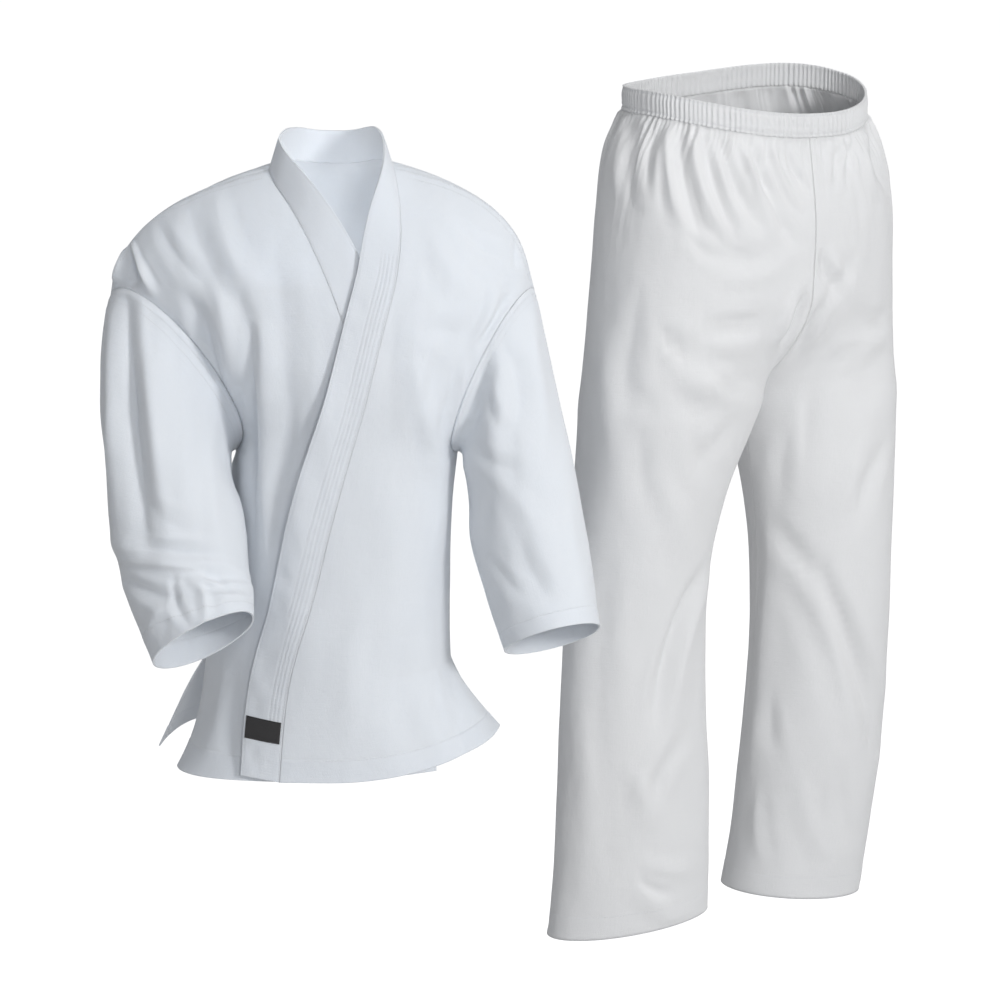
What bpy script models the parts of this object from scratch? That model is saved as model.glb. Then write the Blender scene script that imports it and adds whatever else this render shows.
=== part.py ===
"""Karate uniform: a white wrap jacket and elastic-waist trousers, both filled out as worn, with nobody in them.

The origin is at the base of the jacket's neck, where a wearer's shoulders carry it. -Y is the front, +X is
the wearer's left and +Z is up. Tables are in millimetres. Each piece of cloth is an open surface, worked out
from sections and given its wall along its own normals, so pieces that share a seam share its direction.
"""

import math

import bmesh
import bpy
import numpy as np

MM = 0.001

CLOTH = 1.5  # wall of a single panel
BAND = 3.0  # wall of the folded lapel, which is several layers
WAISTBAND = 2.6  # wall of the elastic's casing
LABEL = 0.8
SEAM = 0.15  # each of two sewn pieces stops this far short of their seam line

LABEL_CLEARANCE = 0.3
LABEL_HEIGHTS = (-636, -624, -611.5)
LABEL_REACH = (0.06, 1 / 3, 2 / 3, 0.94)  # across the lapel, from its seam
LAPEL_OUT = -1  # the lapel's rows and columns run so that their normals point in
FRONT_COLUMNS = 14
HEM_ROWS = (0.0, 0.035, 0.065, 0.12)  # rows below the slit's top, in levels: the label lies between two

LAPEL_WIDTH = 44.0
COLLAR_WIDTH = 38.0  # it is this wide where it stands round the neck
LAYER = 5.5  # how far the outer front lies off the inner one
LAPEL_LIFT = 9.0  # how far the outer lapel's free edge stands off at the waist
NECK_HALF_WIDTH = 71.0
NECK_DEPTH = 0.12  # how far down the back, in levels, the neckline is scooped

UNDERARM = 0.55  # levels run from 0 at the front hem, over the shoulder seam at 1, to 2 at the back hem
SLIT = 0.18  # the side seam is open below this level
EASE = (-0.06, -0.045, -0.03, -0.015, 0.0, 0.015, 0.03, 0.045, 0.06)  # rows round the underarm, eased together

WHITE = (0.86, 0.88, 0.90)
WARM_WHITE = (0.86, 0.86, 0.87)
BLACK = (0.02, 0.018, 0.02)

# Shape helpers


def table(columns, *rows):
    """A short table as a dict of arrays, one for each named column."""
    return {name: np.array(values, float) for name, values in zip(columns.split(), zip(*rows))}


def smooth(x):
    """0 up to 0, 1 from 1 on, and an easy curve between."""
    x = np.clip(x, 0.0, 1.0)
    return x * x * (3 - 2 * x)


def along(rows, column, at):
    """A table's column at the stations in its first column, joined by one smooth curve, straight past its
    ends."""
    stations = next(iter(rows.values()))
    values = rows[column]
    slopes = np.gradient(values, stations)
    past = np.minimum(at - stations[0], 0) * slopes[0] + np.maximum(at - stations[-1], 0) * slopes[-1]
    at = np.clip(at, stations[0], stations[-1])
    i = np.clip(np.searchsorted(stations, at, side="right") - 1, 0, len(stations) - 2)
    step = stations[i + 1] - stations[i]
    t = (at - stations[i]) / step
    rise = t * t * (3 - 2 * t)
    start = t * (1 - t) ** 2 * step * slopes[i]
    end = t * t * (1 - t) * step * slopes[i + 1]
    return values[i] * (1 - rise) + values[i + 1] * rise + start - end + past


def unit(v):
    return v / np.maximum(np.linalg.norm(v, axis=-1, keepdims=True), 1e-9)


def vector(x, y, z):
    return np.stack(np.broadcast_arrays(x, y, z), axis=-1).astype(float)


def normals(surface, u, v):
    """The surface's unit normals, from small steps to each side."""
    du, dv = 1e-3, 1e-3
    across = surface(u + du, v) - surface(u - du, v)
    up = surface(u, v + dv) - surface(u, v - dv)
    return unit(np.cross(across, up))


def fold_height(points, facing, folds):
    """How far the folds in a table move each point out. A fold runs straight from one place to another as
    seen from the front, fades towards its ends, and shows on the side that it is listed for."""
    height = np.zeros(points.shape[:-1])
    for x0, z0, x1, z1, width, out, side in zip(*folds.values()):
        run = np.array([x1 - x0, z1 - z0])
        place = points[..., [0, 2]] - np.array([x0, z0])
        t = np.clip((place @ run) / (run @ run), 0, 1)
        distance = np.linalg.norm(place - t[..., None] * run, axis=-1)
        fade = np.sin(math.pi * np.clip(0.08 + 0.84 * t, 0, 1)) ** 0.7
        height += out * fade * np.exp(-((distance / width) ** 2)) * smooth(0.2 + 1.6 * side * facing)
    return height


# The jacket's body

CENTRE = table(
    "level y z",
    (0.00, -128, -681),
    (0.18, -118, -565),
    (0.35, -110, -455),
    (0.55, -114, -322),
    (0.75, -116, -200),
    (0.88, -92, -100),
    (1.00, -14, 9),
    (1.12, 72, 1),
    (1.25, 98, -80),
    (1.45, 108, -322),
    (1.65, 95, -455),
    (1.82, 104, -565),
    (2.00, 122, -681),
)

# The side seams, from the hem up to the underarm
SIDE_SEAM = {
    -1: table(
        "level x y z",
        (0.00, -158, 4, -684),
        (0.18, -151, 12, -565),
        (0.35, -128, 34, -455),
        (0.46, -128, 34, -384),
        (0.515, -121, 28, -346),
        (0.55, -112, 22, -322),
    ),
    1: table(
        "level x y z",
        (0.00, 142, 0, -684),
        (0.18, 132, 0, -565),
        (0.35, 131, 0, -455),
        (0.55, 138, 0, -322),
    ),
}

# How far the hem's four corners swing out past the side seams, as (x, y, z), and how late in the slit
HEM_CORNER = {
    (-1, "front"): (-24, -38, 0),
    (1, "front"): (47, -26, 44),
    (-1, "back"): (-56, 52, -2),
    (1, "back"): (44, 52, 20),
}
FLARE = {(-1, "front"): 2.6, (1, "front"): 1.2, (-1, "back"): 0.9, (1, "back"): 1.2}
# How far the hem beside each corner is pulled from where it would run, where it curls away from the eye
HEM_CURL = {(-1, "front"): (0, 0, 0), (1, "front"): (0, 0, 0), (-1, "back"): (46, 30, 44), (1, "back"): (0, 0, 0)}

# Each armhole is an ellipse through its top on the shoulder seam and its underarm point. "front" goes from
# its middle to its front point.
ARMHOLE = {
    -1: {"top": (-246, -16, -136), "under": (-112, 22, -322), "front": (36, -66, 26)},
    1: {"top": (225, -10, -135), "under": (138, 0, -322), "front": (-20, -72, 8)},
}
# How far each sleeve's edge stands off its armhole, at each quarter turn from the top through the front. It
# is most where the two walls fold together.
CLEAR = {-1: (0.4, 1.6, 3.4, 1.2, 0.4), 1: (0.4, 0.8, 2.0, 0.8, 0.4)}

# Which way the body's cloth arrives at the armhole, from the underarm (0) to the top (1)
ARRIVAL = {
    -1: table(
        "place out back down handle",
        (0.00, 0.00, 1.00, 0.00, 66),
        (0.25, 0.35, 0.90, 0.10, 66),
        (0.50, 0.55, 0.75, 0.30, 62),
        (0.75, 0.45, 0.30, 0.85, 74),
        (1.00, 0.03, 0.00, 1.00, 94),
    ),
    1: table(
        "place out back down handle",
        (0.00, 0.00, 1.00, 0.00, 62),
        (0.25, 0.40, 0.90, 0.20, 66),
        (0.50, 0.70, 0.55, 0.50, 70),
        (0.75, 0.50, 0.15, 0.85, 88),
        (1.00, 0.03, 0.00, 1.00, 118),
    ),
}

# How far each row runs straight out from the middle, as a share of its half width, and how far it drops
REACH = table(
    "level share drop",
    (0.00, 0.62, 0),
    (0.35, 0.60, 0),
    (0.55, 0.58, 0),
    (0.78, 0.46, 0),
    (0.88, 0.43, 0),
    (1.00, 0.42, 7),
    (1.12, 0.43, 0),
    (1.22, 0.46, 0),
    (1.45, 0.60, 0),
    (2.00, 0.62, 0),
)

JACKET_FOLDS = table(
    "x0 z0 x1 z1 width out side",
    (-72, -190, -78, -470, 17, 7, 1),  # long fold down beside the bent sleeve
    (-100, -150, -88, -330, 14, -6, 1),
    (-50, -300, -70, -560, 20, -4, 1),
    (96, -215, 118, -330, 12, 6, 1),  # folds that run to the straight sleeve's underarm
    (130, -180, 96, -280, 11, -5, 1),
    (112, -420, 122, -560, 14, -5, 1),
    (60, -330, 80, -520, 24, 3, 1),
    (134, -560, 150, -680, 13, -6, 1),  # where the hem's corner kicks out
    (-110, -120, -60, -330, 16, 6, -1),  # the back falls in long folds
    (110, -120, 70, -340, 16, 6, -1),
    (-50, -330, -62, -600, 20, -6, -1),
    (48, -330, 60, -600, 20, -6, -1),
    (0, -380, 4, -640, 22, 5, -1),
)


def armhole(side, angle):
    """A point on the armhole, from its top at angle 0 through its front to the underarm at pi."""
    loop = ARMHOLE[side]
    top, under, front = (np.array(loop[k], float) for k in ("top", "under", "front"))
    return (
        (top + under) / 2 + np.cos(angle)[..., None] * (top - under) / 2 + np.sin(angle)[..., None] * front
    )


def body_edge(side, level):
    """The body's outer edge on one side: the slit and side seam, and above them the armhole."""
    height = np.minimum(level, 2 - level)
    seam = vector(*(along(SIDE_SEAM[side], column, height) for column in "xyz"))
    slit = np.clip(1 - height / SLIT, 0, 1)[..., None]
    for half, there in (("front", level <= 1), ("back", level > 1)):
        seam = seam + np.array(HEM_CORNER[side, half]) * slit ** FLARE[side, half] * there[..., None]
    turn = math.pi * (1 - (height - UNDERARM) / (1 - UNDERARM))
    angle = np.where(level <= 1, turn, -turn)
    return np.where((height >= UNDERARM)[..., None], armhole(side, angle), seam)


def body_half(side, share, level):
    """The body from its middle (share 0) to one side (share 1): each row is one cubic curve."""
    height = np.minimum(level, 2 - level)
    facing = np.where(level <= 1, 1.0, -1.0)
    middle = vector(0 * level, along(CENTRE, "y", level), along(CENTRE, "z", level))
    edge = body_edge(side, level)
    eased = sum(body_edge(side, level + step) for step in EASE) / len(EASE)
    eased = edge + (eased - edge) * smooth(1.4 - 6 * np.abs(height - UNDERARM))[..., None]
    place = np.clip((height - UNDERARM) / (1 - UNDERARM), 0, 1)
    arrival = ARRIVAL[side]
    arrive = unit(
        vector(
            side * along(arrival, "out", place),
            facing * along(arrival, "back", place),
            -along(arrival, "down", place),
        )
    )
    half_width = np.abs(eased[..., 0])
    near = middle + vector(side * half_width * along(REACH, "share", level), 0, -along(REACH, "drop", level))
    far = eased - arrive * along(arrival, "handle", place)[..., None]
    slit = np.clip(1 - height / SLIT, 0, 1)[..., None] ** 1.5
    for half, there in (("front", level <= 1), ("back", level > 1)):
        far = far + np.array(HEM_CURL[side, half]) * slit * there[..., None]
    t = share[..., None]
    s = 1 - t
    last = eased + (edge - eased) * t**8
    return s**3 * middle + 3 * s * s * t * near + 3 * s * t * t * far + t**3 * last


def body_plain(across, level):
    """The body's surface without folds. across runs from -1 at the wearer's right side to 1 at the left."""
    across, level = np.broadcast_arrays(across, level)
    left = body_half(1, np.abs(across), level)
    right = body_half(-1, np.abs(across), level)
    return np.where((across >= 0)[..., None], left, right)


def body(across, level, lift=0.0):
    """The body's surface with its folds, moved out by lift."""
    across, level = np.broadcast_arrays(np.asarray(across, float), np.asarray(level, float))
    points = body_plain(across, level)
    out = normals(body_plain, across, level)
    fade = smooth((1 - np.abs(across)) / 0.12) * smooth(np.abs(1 - level) / 0.08)
    folds = fade * fold_height(points, -out[..., 1], JACKET_FOLDS)
    return points + out * (folds + lift)[..., None]


# The fronts and the lapel

# Where the lapel is sewn to each front, seen from the front
OUTER_SEAM = table(
    "z x",
    (-700, -60),
    (-555, -42),
    (-484, -21),
    (-385, 3),
    (-322, 20),
    (-247, 42),
    (-168, 62),
    (-115, 75),
    (-45, 78),
    (-5, 71),
    (20, 66),
)
INNER_SEAM = table(
    "z x",
    (-700, 76),
    (-520, 64),
    (-420, 56),
    (-330, 48),
    (-250, 38),
    (-168, 18),
    (-80, -20),
    (-34, -48),
    (-14, -63),
    (2, -71),
    (20, -77),
)


def outer_lift(across, level):
    """The outer front lies off the inner one, and joins the body at its side and shoulder seams."""
    return LAYER * smooth((0.95 - across) / 0.35) * smooth((1 - level) / 0.10)


def lapel_seam(seam, level):
    """How far across the body each level meets the lapel's seam, by halving."""
    low, high = np.full(level.shape, -0.9), np.full(level.shape, 0.9)
    for _ in range(40):
        middle = (low + high) / 2
        points = body_plain(middle, level)
        beyond = points[..., 0] > along(seam, "x", points[..., 2])
        low, high = np.where(beyond, low, middle), np.where(beyond, middle, high)
    return (low + high) / 2


def place_on_front(x, z, across, level):
    """The body's (across, level) at x and z on its front, by Newton steps from a first guess."""
    step = 1e-3
    for _ in range(12):
        here = body_plain(across, level)[..., [0, 2]]
        by_across = (body_plain(across + step, level)[..., [0, 2]] - here) / step
        by_level = (body_plain(across, level + step)[..., [0, 2]] - here) / step
        miss = np.stack([x, z], axis=-1) - here
        area = by_across[..., 0] * by_level[..., 1] - by_across[..., 1] * by_level[..., 0]
        area = np.where(np.abs(area) < 1e3, 1e3, area)
        move = (miss[..., 0] * by_level[..., 1] - miss[..., 1] * by_level[..., 0]) / area
        climb = (miss[..., 1] * by_across[..., 0] - miss[..., 0] * by_across[..., 1]) / area
        across = np.clip(across + np.clip(move, -0.1, 0.1), -0.95, 0.95)
        level = np.clip(level + np.clip(climb, -0.06, 0.06), -0.05, 1.0)
    return across, level


def lapel_front(seam, side, level, width, lift):
    """The lapel beside one front: it lies on the body, and stands up towards the shoulder.
    level gives the stations along it, and width runs from the seam (0) to the free edge (1)."""
    level, width = np.broadcast_arrays(level, width)
    across = lapel_seam(seam, level)
    sewn = body(across, level, outer_lift(across, level) * lift)
    step = 2e-3
    ahead = body_plain(lapel_seam(seam, level + step), level + step)
    behind = body_plain(lapel_seam(seam, level - step), level - step)
    run = unit((ahead - behind)[..., [0, 2]])
    start = body_plain(across, level)
    reach = LAPEL_WIDTH * width
    x = start[..., 0] - side * run[..., 1] * reach
    z = start[..., 2] + side * run[..., 0] * reach
    where = place_on_front(x, z, across, level)
    stand_off = lift * (
        outer_lift(*where) + LAPEL_LIFT * width * smooth((start[..., 2] + 520) / 130) * smooth((-170 - start[..., 2]) / 120)
    )
    lying = body(*where, stand_off) - sewn
    upright = unit(np.array([-0.30 * side, -0.05, 0.95])) * reach[..., None]
    stand = smooth((start[..., 2] + 125) / 125)[..., None]
    mixed = lying * (1 - stand) + upright * stand
    wanted = width[..., None] * (LAPEL_WIDTH + (COLLAR_WIDTH - LAPEL_WIDTH) * stand)
    stretch = wanted / np.maximum(np.linalg.norm(mixed, axis=-1, keepdims=True), 1e-6)
    return sewn + mixed * np.where(stand > 0, stretch, 1.0)


def neck_points():
    """How far across the two points are where the shoulder seams meet the lapel."""
    shoulder = np.array([1.0])
    return lapel_seam(INNER_SEAM, shoulder)[0], lapel_seam(OUTER_SEAM, shoulder)[0]


def neckline(across):
    """The level of the back neckline, scooped between the two shoulder points."""
    right, left = neck_points()
    half = np.where(across > 0, left, -right)
    return 1 + NECK_DEPTH * (1 - np.clip(np.abs(across) / half, 0, 1) ** 2.4)


def lapel_back(across, width):
    """The lapel round the back of the neck, where it stands as a low collar."""
    across, width = np.broadcast_arrays(across, width)
    sewn = body(across, neckline(across))
    lean = sewn[..., 0] / NECK_HALF_WIDTH
    up = unit(vector(-0.30 * lean, -0.05 - 0.10 * (1 - lean**2), 0.95 + 0 * lean))
    return sewn + up * (COLLAR_WIDTH * width)[..., None]


# The sleeves

# Sections from the armhole (0) to the cuff (1): the outer and inner point, the middle's y, and the step
# from the middle to the section's front point
SLEEVE = {
    -1: table(
        "place outer_x outer_z inner_x inner_z y front_x front_y front_z",
        (0.00, -246, -136, -112, -322, 3, 36, -66, 26),
        (0.04, -251, -153, -121, -327, -6, 33, -69, 23),
        (0.14, -257, -198, -119, -344, -34, 24, -72, 16),
        (0.30, -259, -256, -104, -368, -62, 8, -70, 10),
        (0.50, -252, -330, -96, -402, -82, 2, -66, 10),
        (0.68, -245, -408, -93, -438, -96, 0, -62, 14),
        (0.80, -233, -458, -88, -460, -108, 2, -60, 20),
        (1.00, -194, -541, -86, -483, -150, -8, -55, 27),
    ),
    1: table(
        "place outer_x outer_z inner_x inner_z y front_x front_y front_z",
        (0.00, 225, -135, 138, -322, -5, -20, -72, 8),
        (0.04, 230, -150, 147, -326, -7, -19, -72, 8),
        (0.15, 240, -192, 151, -344, -14, -14, -73, 8),
        (0.30, 255, -258, 155, -376, -24, -7, -72, 9),
        (0.50, 273, -338, 156, -420, -38, -3, -68, 12),
        (0.75, 291, -433, 173, -476, -58, -3, -64, 18),
        (1.00, 303, -512, 195, -541, -80, -3, -60, 24),
    ),
}

# Folds round a sleeve: where each lies along it and round it (in turns from the top, towards the front),
# how it slants, and its size
SLEEVE_FOLDS = {
    -1: table(
        "place turn slant reach width out",
        (0.70, 0.20, 0.02, 0.16, 0.030, 7),
        (0.76, 0.24, 0.05, 0.18, 0.026, -7),
        (0.82, 0.34, -0.04, 0.10, 0.022, 4),
        (0.90, 0.36, 0.10, 0.08, 0.022, 3),
        (0.30, 0.12, 0.60, 0.05, 0.100, -6),
        (0.72, 0.72, 0.04, 0.16, 0.034, -5),
        (0.40, 0.75, -0.40, 0.08, 0.080, 5),
        (1.00, 0.22, 0.00, 0.14, 0.070, -5),
    ),
    1: table(
        "place turn slant reach width out",
        (0.18, 0.24, 0.50, 0.06, 0.060, 4),
        (0.45, 0.36, 0.90, 0.05, 0.120, -5),
        (0.80, 0.26, -0.90, 0.06, 0.090, -4),
        (0.55, 0.70, 0.60, 0.06, 0.100, 5),
        (0.25, 0.80, 0.50, 0.06, 0.080, -4),
    ),
}


def sleeve_plain(side, angle, place):
    """A sleeve's surface without folds: sections between its armhole and its cuff."""
    rows = SLEEVE[side]
    get = {column: along(rows, column, place) for column in rows}
    outer = vector(get["outer_x"], get["y"], get["outer_z"])
    inner = vector(get["inner_x"], get["y"], get["inner_z"])
    front = vector(get["front_x"], get["front_y"], get["front_z"])
    loop = ARMHOLE[side]
    slope = (loop["top"][1] - loop["under"][1]) / 2 * smooth(1 - place / 0.3)
    half = (outer - inner) / 2 + vector(0, slope, 0)
    return (outer + inner) / 2 + np.cos(angle)[..., None] * half + np.sin(angle)[..., None] * front


def sleeve(side, angle, place, lift=0.0):
    """A sleeve's surface with its folds, moved out by lift."""
    angle, place = np.broadcast_arrays(np.asarray(angle, float), np.asarray(place, float))

    def plain(a, p):
        return sleeve_plain(side, a, p)

    points = plain(angle, place)
    out = normals(plain, angle, place) * side
    height = np.zeros(points.shape[:-1])
    for at, turn, slant, reach, width, rise in zip(*SLEEVE_FOLDS[side].values()):
        round_it = (angle / (2 * math.pi) - turn + 0.5) % 1 - 0.5
        off = (place - at - slant * round_it) / width
        height += rise * np.exp(-(off**2) - (round_it / reach) ** 2)
    return points + out * (height * smooth(place / 0.1) + lift)[..., None]


# The trousers

HIP_CENTRE = (481.0, 200.0)
TURN = math.radians(40)  # the trousers face this far towards the wearer's left
CROTCH = -285.0
HIPS = -150.0
CROTCH_GAP = 1.1  # each leg's inseam stands this far off the middle where they meet
BAND_BOTTOM = 54.0
BAND_HEIGHT = 28.0
# How far the waist's edge rises from level: at the back, at the wearer's left, at both sides, and between them
WAIST_BACK, WAIST_LEFT, WAIST_SIDES, WAIST_TWIST = 20.0, 6.0, 7.0, 5.0
SQUARE = 0.88  # the hips and waist are a little squarer than an ellipse, which is 1
GATHERS = 84
GATHER_DEPTH = 1.5
GATHER_STEPS = 4

# The hips and waist as one ring: half width, half depth, and the middle's place
HIP_RING = table(
    "z width depth x y",
    (-290, 219, 117, 480, 204),
    (-230, 220, 116, 481, 204),
    (-150, 217, 115, 483, 202),
    (-60, 208, 116, 484, 200),
    (10, 190, 112, 482, 200),
    (54, 165, 106, 482, 200),
    (83, 164, 105, 482, 200),
)

# The legs, up from the hem: the edges that show from the front, the middle's y, the half thickness and turn
LEG = {
    -1: table(
        "z left right y thick turn tilt",
        (-915, 247, 443, 104, 56, 24, 8),
        (-850, 253, 444, 106, 58, 26, 4),
        (-740, 258, 443, 110, 62, 30, 0),
        (-600, 263, 437, 118, 68, 34, 0),
        (-480, 271, 441, 124, 76, 36, 0),
        (-370, 279, 467, 130, 86, 38, 0),
        (-285, 283, 500, 134, 94, 40, 0),
    ),
    1: table(
        "z left right y thick turn tilt",
        (-915, 467, 641, 250, 66, 12, 6),
        (-850, 477, 651, 250, 68, 12, 2),
        (-740, 488, 665, 248, 70, 16, 0),
        (-600, 497, 670, 248, 74, 20, 0),
        (-480, 495, 673, 250, 80, 26, 0),
        (-370, 483, 675, 256, 88, 34, 0),
        (-285, 480, 676, 262, 94, 40, 0),
    ),
}

TROUSER_FOLDS = table(
    "x0 z0 x1 z1 width out side",
    (400, -245, 455, -262, 16, 8, 1),  # creases across the near thigh
    (395, -275, 450, -290, 14, -7, 1),
    (420, -345, 470, -300, 12, -5, 1),
    (340, -260, 372, -285, 12, -4, 1),
    (378, -640, 416, -500, 12, -5, 1),  # long slanting folds below the near knee
    (340, -800, 400, -620, 18, 4, 1),
    (350, -860, 390, -900, 14, 4, 1),
    (600, -250, 650, -225, 14, 6, 1),  # the far leg's thigh and shin
    (610, -290, 650, -275, 14, -5, 1),
    (560, -520, 660, -720, 20, -7, 1),
    (520, -440, 500, -740, 16, 5, 1),
    (600, -760, 560, -880, 22, -4, 1),
    (330, -330, 400, -280, 18, 6, -1),  # creases behind the knees and seat
    (560, -330, 640, -280, 18, 6, -1),
    (300, -560, 420, -600, 18, -6, -1),
    (520, -560, 650, -600, 18, -6, -1),
    (480, -140, 470, -260, 16, -6, -1),
)

# Folds that fall from the gathered waist, by turn round each half from the front seam to the back seam
WAIST_FOLDS = table(
    "turn width length out",
    (0.08, 0.020, 90, 1.8),
    (0.14, 0.022, 170, 3.6),
    (0.21, 0.024, 150, 4.5),
    (0.30, 0.026, 190, 5.0),
    (0.39, 0.024, 130, 4.0),
    (0.48, 0.026, 110, 3.5),
    (0.58, 0.026, 120, 4.0),
    (0.67, 0.024, 150, 4.5),
    (0.76, 0.024, 130, 4.0),
    (0.85, 0.024, 160, 4.5),
    (0.93, 0.020, 120, 3.5),
)


def turned(turn, sideways, forward):
    """A step in the ground plane, for something that faces turn towards the wearer's left."""
    return vector(
        sideways * np.cos(turn) + forward * np.sin(turn),
        sideways * np.sin(turn) - forward * np.cos(turn),
        0 * sideways,
    )


def hip_ring(angle, z):
    """The ring of the hips. Angle 0 is the wearer's left, and a quarter turn is the front."""
    middle = vector(along(HIP_RING, "x", z), along(HIP_RING, "y", z), z)
    sideways = np.sign(np.cos(angle)) * np.abs(np.cos(angle)) ** SQUARE
    forward = np.sign(np.sin(angle)) * np.abs(np.sin(angle)) ** SQUARE
    flat = turned(TURN, along(HIP_RING, "width", z) * sideways, along(HIP_RING, "depth", z) * forward)
    rise = -WAIST_BACK * np.sin(angle) + WAIST_LEFT * np.cos(angle)
    rise = rise + WAIST_SIDES * np.cos(2 * angle) - WAIST_TWIST * np.sin(2 * angle)
    rise = rise * smooth((z - HIPS) / (BAND_BOTTOM - HIPS))
    return middle + flat + vector(0 * rise, 0 * rise, rise)


def leg_ring(side, angle, z):
    """A leg's ring, from its inseam at angle 0 through the front. Its width is what its edges ask for."""
    rows = LEG[side]
    get = {column: along(rows, column, z) for column in rows}
    turn = np.radians(get["turn"])
    half = (get["right"] - get["left"]) / 2
    width = np.sqrt(half**2 - (get["thick"] * np.sin(turn)) ** 2) / np.cos(turn)
    middle = vector((get["right"] + get["left"]) / 2, get["y"], z)
    flat = turned(turn, -side * width * np.cos(angle), get["thick"] * np.sin(angle))
    tilt = get["tilt"] * np.cos(angle)
    return middle + flat + vector(0 * tilt, 0 * tilt, tilt)


def leg_plain(side, turn, z):
    """A leg and its half of the hips, without folds. turn runs from 0 at the front seam or inseam, through
    the front and the outside, to 1 at the back seam or inseam."""
    turn, z = np.broadcast_arrays(turn, z)
    angle = 2 * math.pi * turn
    below = leg_ring(side, angle, np.minimum(z, CROTCH))
    crotch = np.array([486.0, 204.0, 0.0])
    climb = np.clip((z - CROTCH) / (HIPS - CROTCH), 0, 1)
    share = np.sin(climb * math.pi / 2)[..., None] ** 0.9
    inseam = leg_ring(side, np.zeros_like(z), np.full_like(z, CROTCH))
    pull = smooth((np.minimum(z, CROTCH) + 420) / 135)[..., None] * (0.5 + 0.5 * np.cos(angle))[..., None] ** 2
    below = below + pull * (crotch - inseam) * [1, 1, 0]
    half = math.pi / 2 - side * angle / 2
    above = hip_ring(half, np.maximum(z, CROTCH))
    apart = side * CROTCH_GAP * (1 - share[..., 0]) * (0.5 + 0.5 * np.cos(angle))
    below = below + turned(TURN, apart, 0 * apart)
    mixed = below * (1 - share) + above * share
    mixed[..., 2] = np.where(z > CROTCH, above[..., 2], below[..., 2])
    return mixed


def leg(side, turn, z, lift=0.0):
    """A leg's surface with its folds, moved out by lift."""
    turn, z = np.broadcast_arrays(np.asarray(turn, float), np.asarray(z, float))

    def plain(t, h):
        return leg_plain(side, t, h)

    points = plain(turn, z)
    across = plain(turn + 1e-3, z) - plain(turn - 1e-3, z)
    up = plain(turn, z + 1) - plain(turn, z - 1)
    out = np.cross(across, up) * side
    out[..., 2] *= 1 - smooth((z - BAND_BOTTOM + 14) / 13)
    out = unit(out)
    height = fold_height(points, -out[..., 1], TROUSER_FOLDS)
    for at, width, length, rise in zip(*WAIST_FOLDS.values()):
        fall = smooth(1 - (BAND_BOTTOM - z) / length) * smooth((BAND_BOTTOM - z) / 14 + 0.1)
        height += rise * fall * np.exp(-(((turn - at) / width) ** 2))
    near_inseam = 1 - smooth(np.minimum(turn, 1 - turn) / 0.05)
    fade = (1 - near_inseam * smooth((HIPS - z) / 60)) * smooth((z - LEG[side]["z"][0]) / 12)
    return points + out * (height * fade + lift)[..., None]


# Making the solids


def shell_object(name, outer, inner, colour, closed=False):
    """A sheet of cloth between two grids of points, with a rim round every open edge. A closed sheet joins
    its last column to its first."""
    rows, columns = outer.shape[:2]
    shape = bmesh.new()
    front, behind = ([[shape.verts.new(p * MM) for p in row] for row in grid] for grid in (outer, inner))
    spans = [(c, (c + 1) % columns) for c in range(columns if closed else columns - 1)]
    for r in range(rows - 1):
        for c, d in spans:
            corners = ((r, c), (r, d), (r + 1, d), (r + 1, c))
            for three in halves(outer, corners):
                shape.faces.new([front[i][j] for i, j in three])
                shape.faces.new([behind[i][j] for i, j in reversed(three)])
    for c, d in spans:
        shape.faces.new((front[0][d], front[0][c], behind[0][c], behind[0][d]))
        shape.faces.new((front[-1][c], front[-1][d], behind[-1][d], behind[-1][c]))
    for r in range(0 if closed else rows - 1):
        shape.faces.new((front[r][0], front[r + 1][0], behind[r + 1][0], behind[r][0]))
        shape.faces.new((front[r + 1][-1], front[r][-1], behind[r][-1], behind[r + 1][-1]))
    mesh = bpy.data.meshes.new(name)
    shape.to_mesh(mesh)
    shape.free()
    rims = 2 * 2 * (rows - 1) * len(spans)
    mesh.polygons.foreach_set("use_smooth", [face < rims for face in range(len(mesh.polygons))])
    mesh.materials.append(finish(name, colour))
    piece = bpy.data.objects.new(name, mesh)
    bpy.data.collections[COLLECTION].objects.link(piece)
    return piece


def halves(grid, corners):
    """A grid's quad as two triangles, cut the shorter way. Both faces of a wall are cut the same way."""
    a, b, c, d = corners
    if np.linalg.norm(grid[a] - grid[c]) <= np.linalg.norm(grid[b] - grid[d]):
        return (a, b, c), (a, c, d)
    return (a, b, d), (b, c, d)


def grid_normals(points, closed=False):
    """The unit normals of a grid of points, from each one's neighbours."""
    if closed:
        across = np.roll(points, -1, axis=1) - np.roll(points, 1, axis=1)
    else:
        across = np.gradient(points, axis=1)
    return unit(np.cross(across, np.gradient(points, axis=0)))


def band_object(name, points, wall, colour, out, closed=False):
    """A sheet of cloth with its wall half to each side of a grid of points. out is 1 or -1, whichever
    makes the grid's normals point out."""
    step = grid_normals(points, closed) * out * wall / 2
    first, second = (points + step, points - step) if out > 0 else (points - step, points + step)
    return shell_object(name, first, second, colour, closed)


def finish(name, colour):
    """Matt woven cotton in one colour."""
    material = bpy.data.materials.new(name)
    material.use_nodes = True
    shader = material.node_tree.nodes["Principled BSDF"]
    shader.inputs["Base Color"].default_value = (*colour, 1.0)
    shader.inputs["Roughness"].default_value = 0.85
    shader.inputs["Metallic"].default_value = 0.0
    return material


def spread(start, end, count):
    return np.linspace(start, end, count)


def body_levels():
    """The rows that fronts, back and lapel share, so that their seams follow the same points."""
    return np.concatenate(
        [
            HEM_ROWS,
            spread(SLIT, UNDERARM, 5)[:-1],
            spread(UNDERARM, 0.82, 7)[:-1],
            spread(0.82, 1, 8),
        ]
    )


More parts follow.
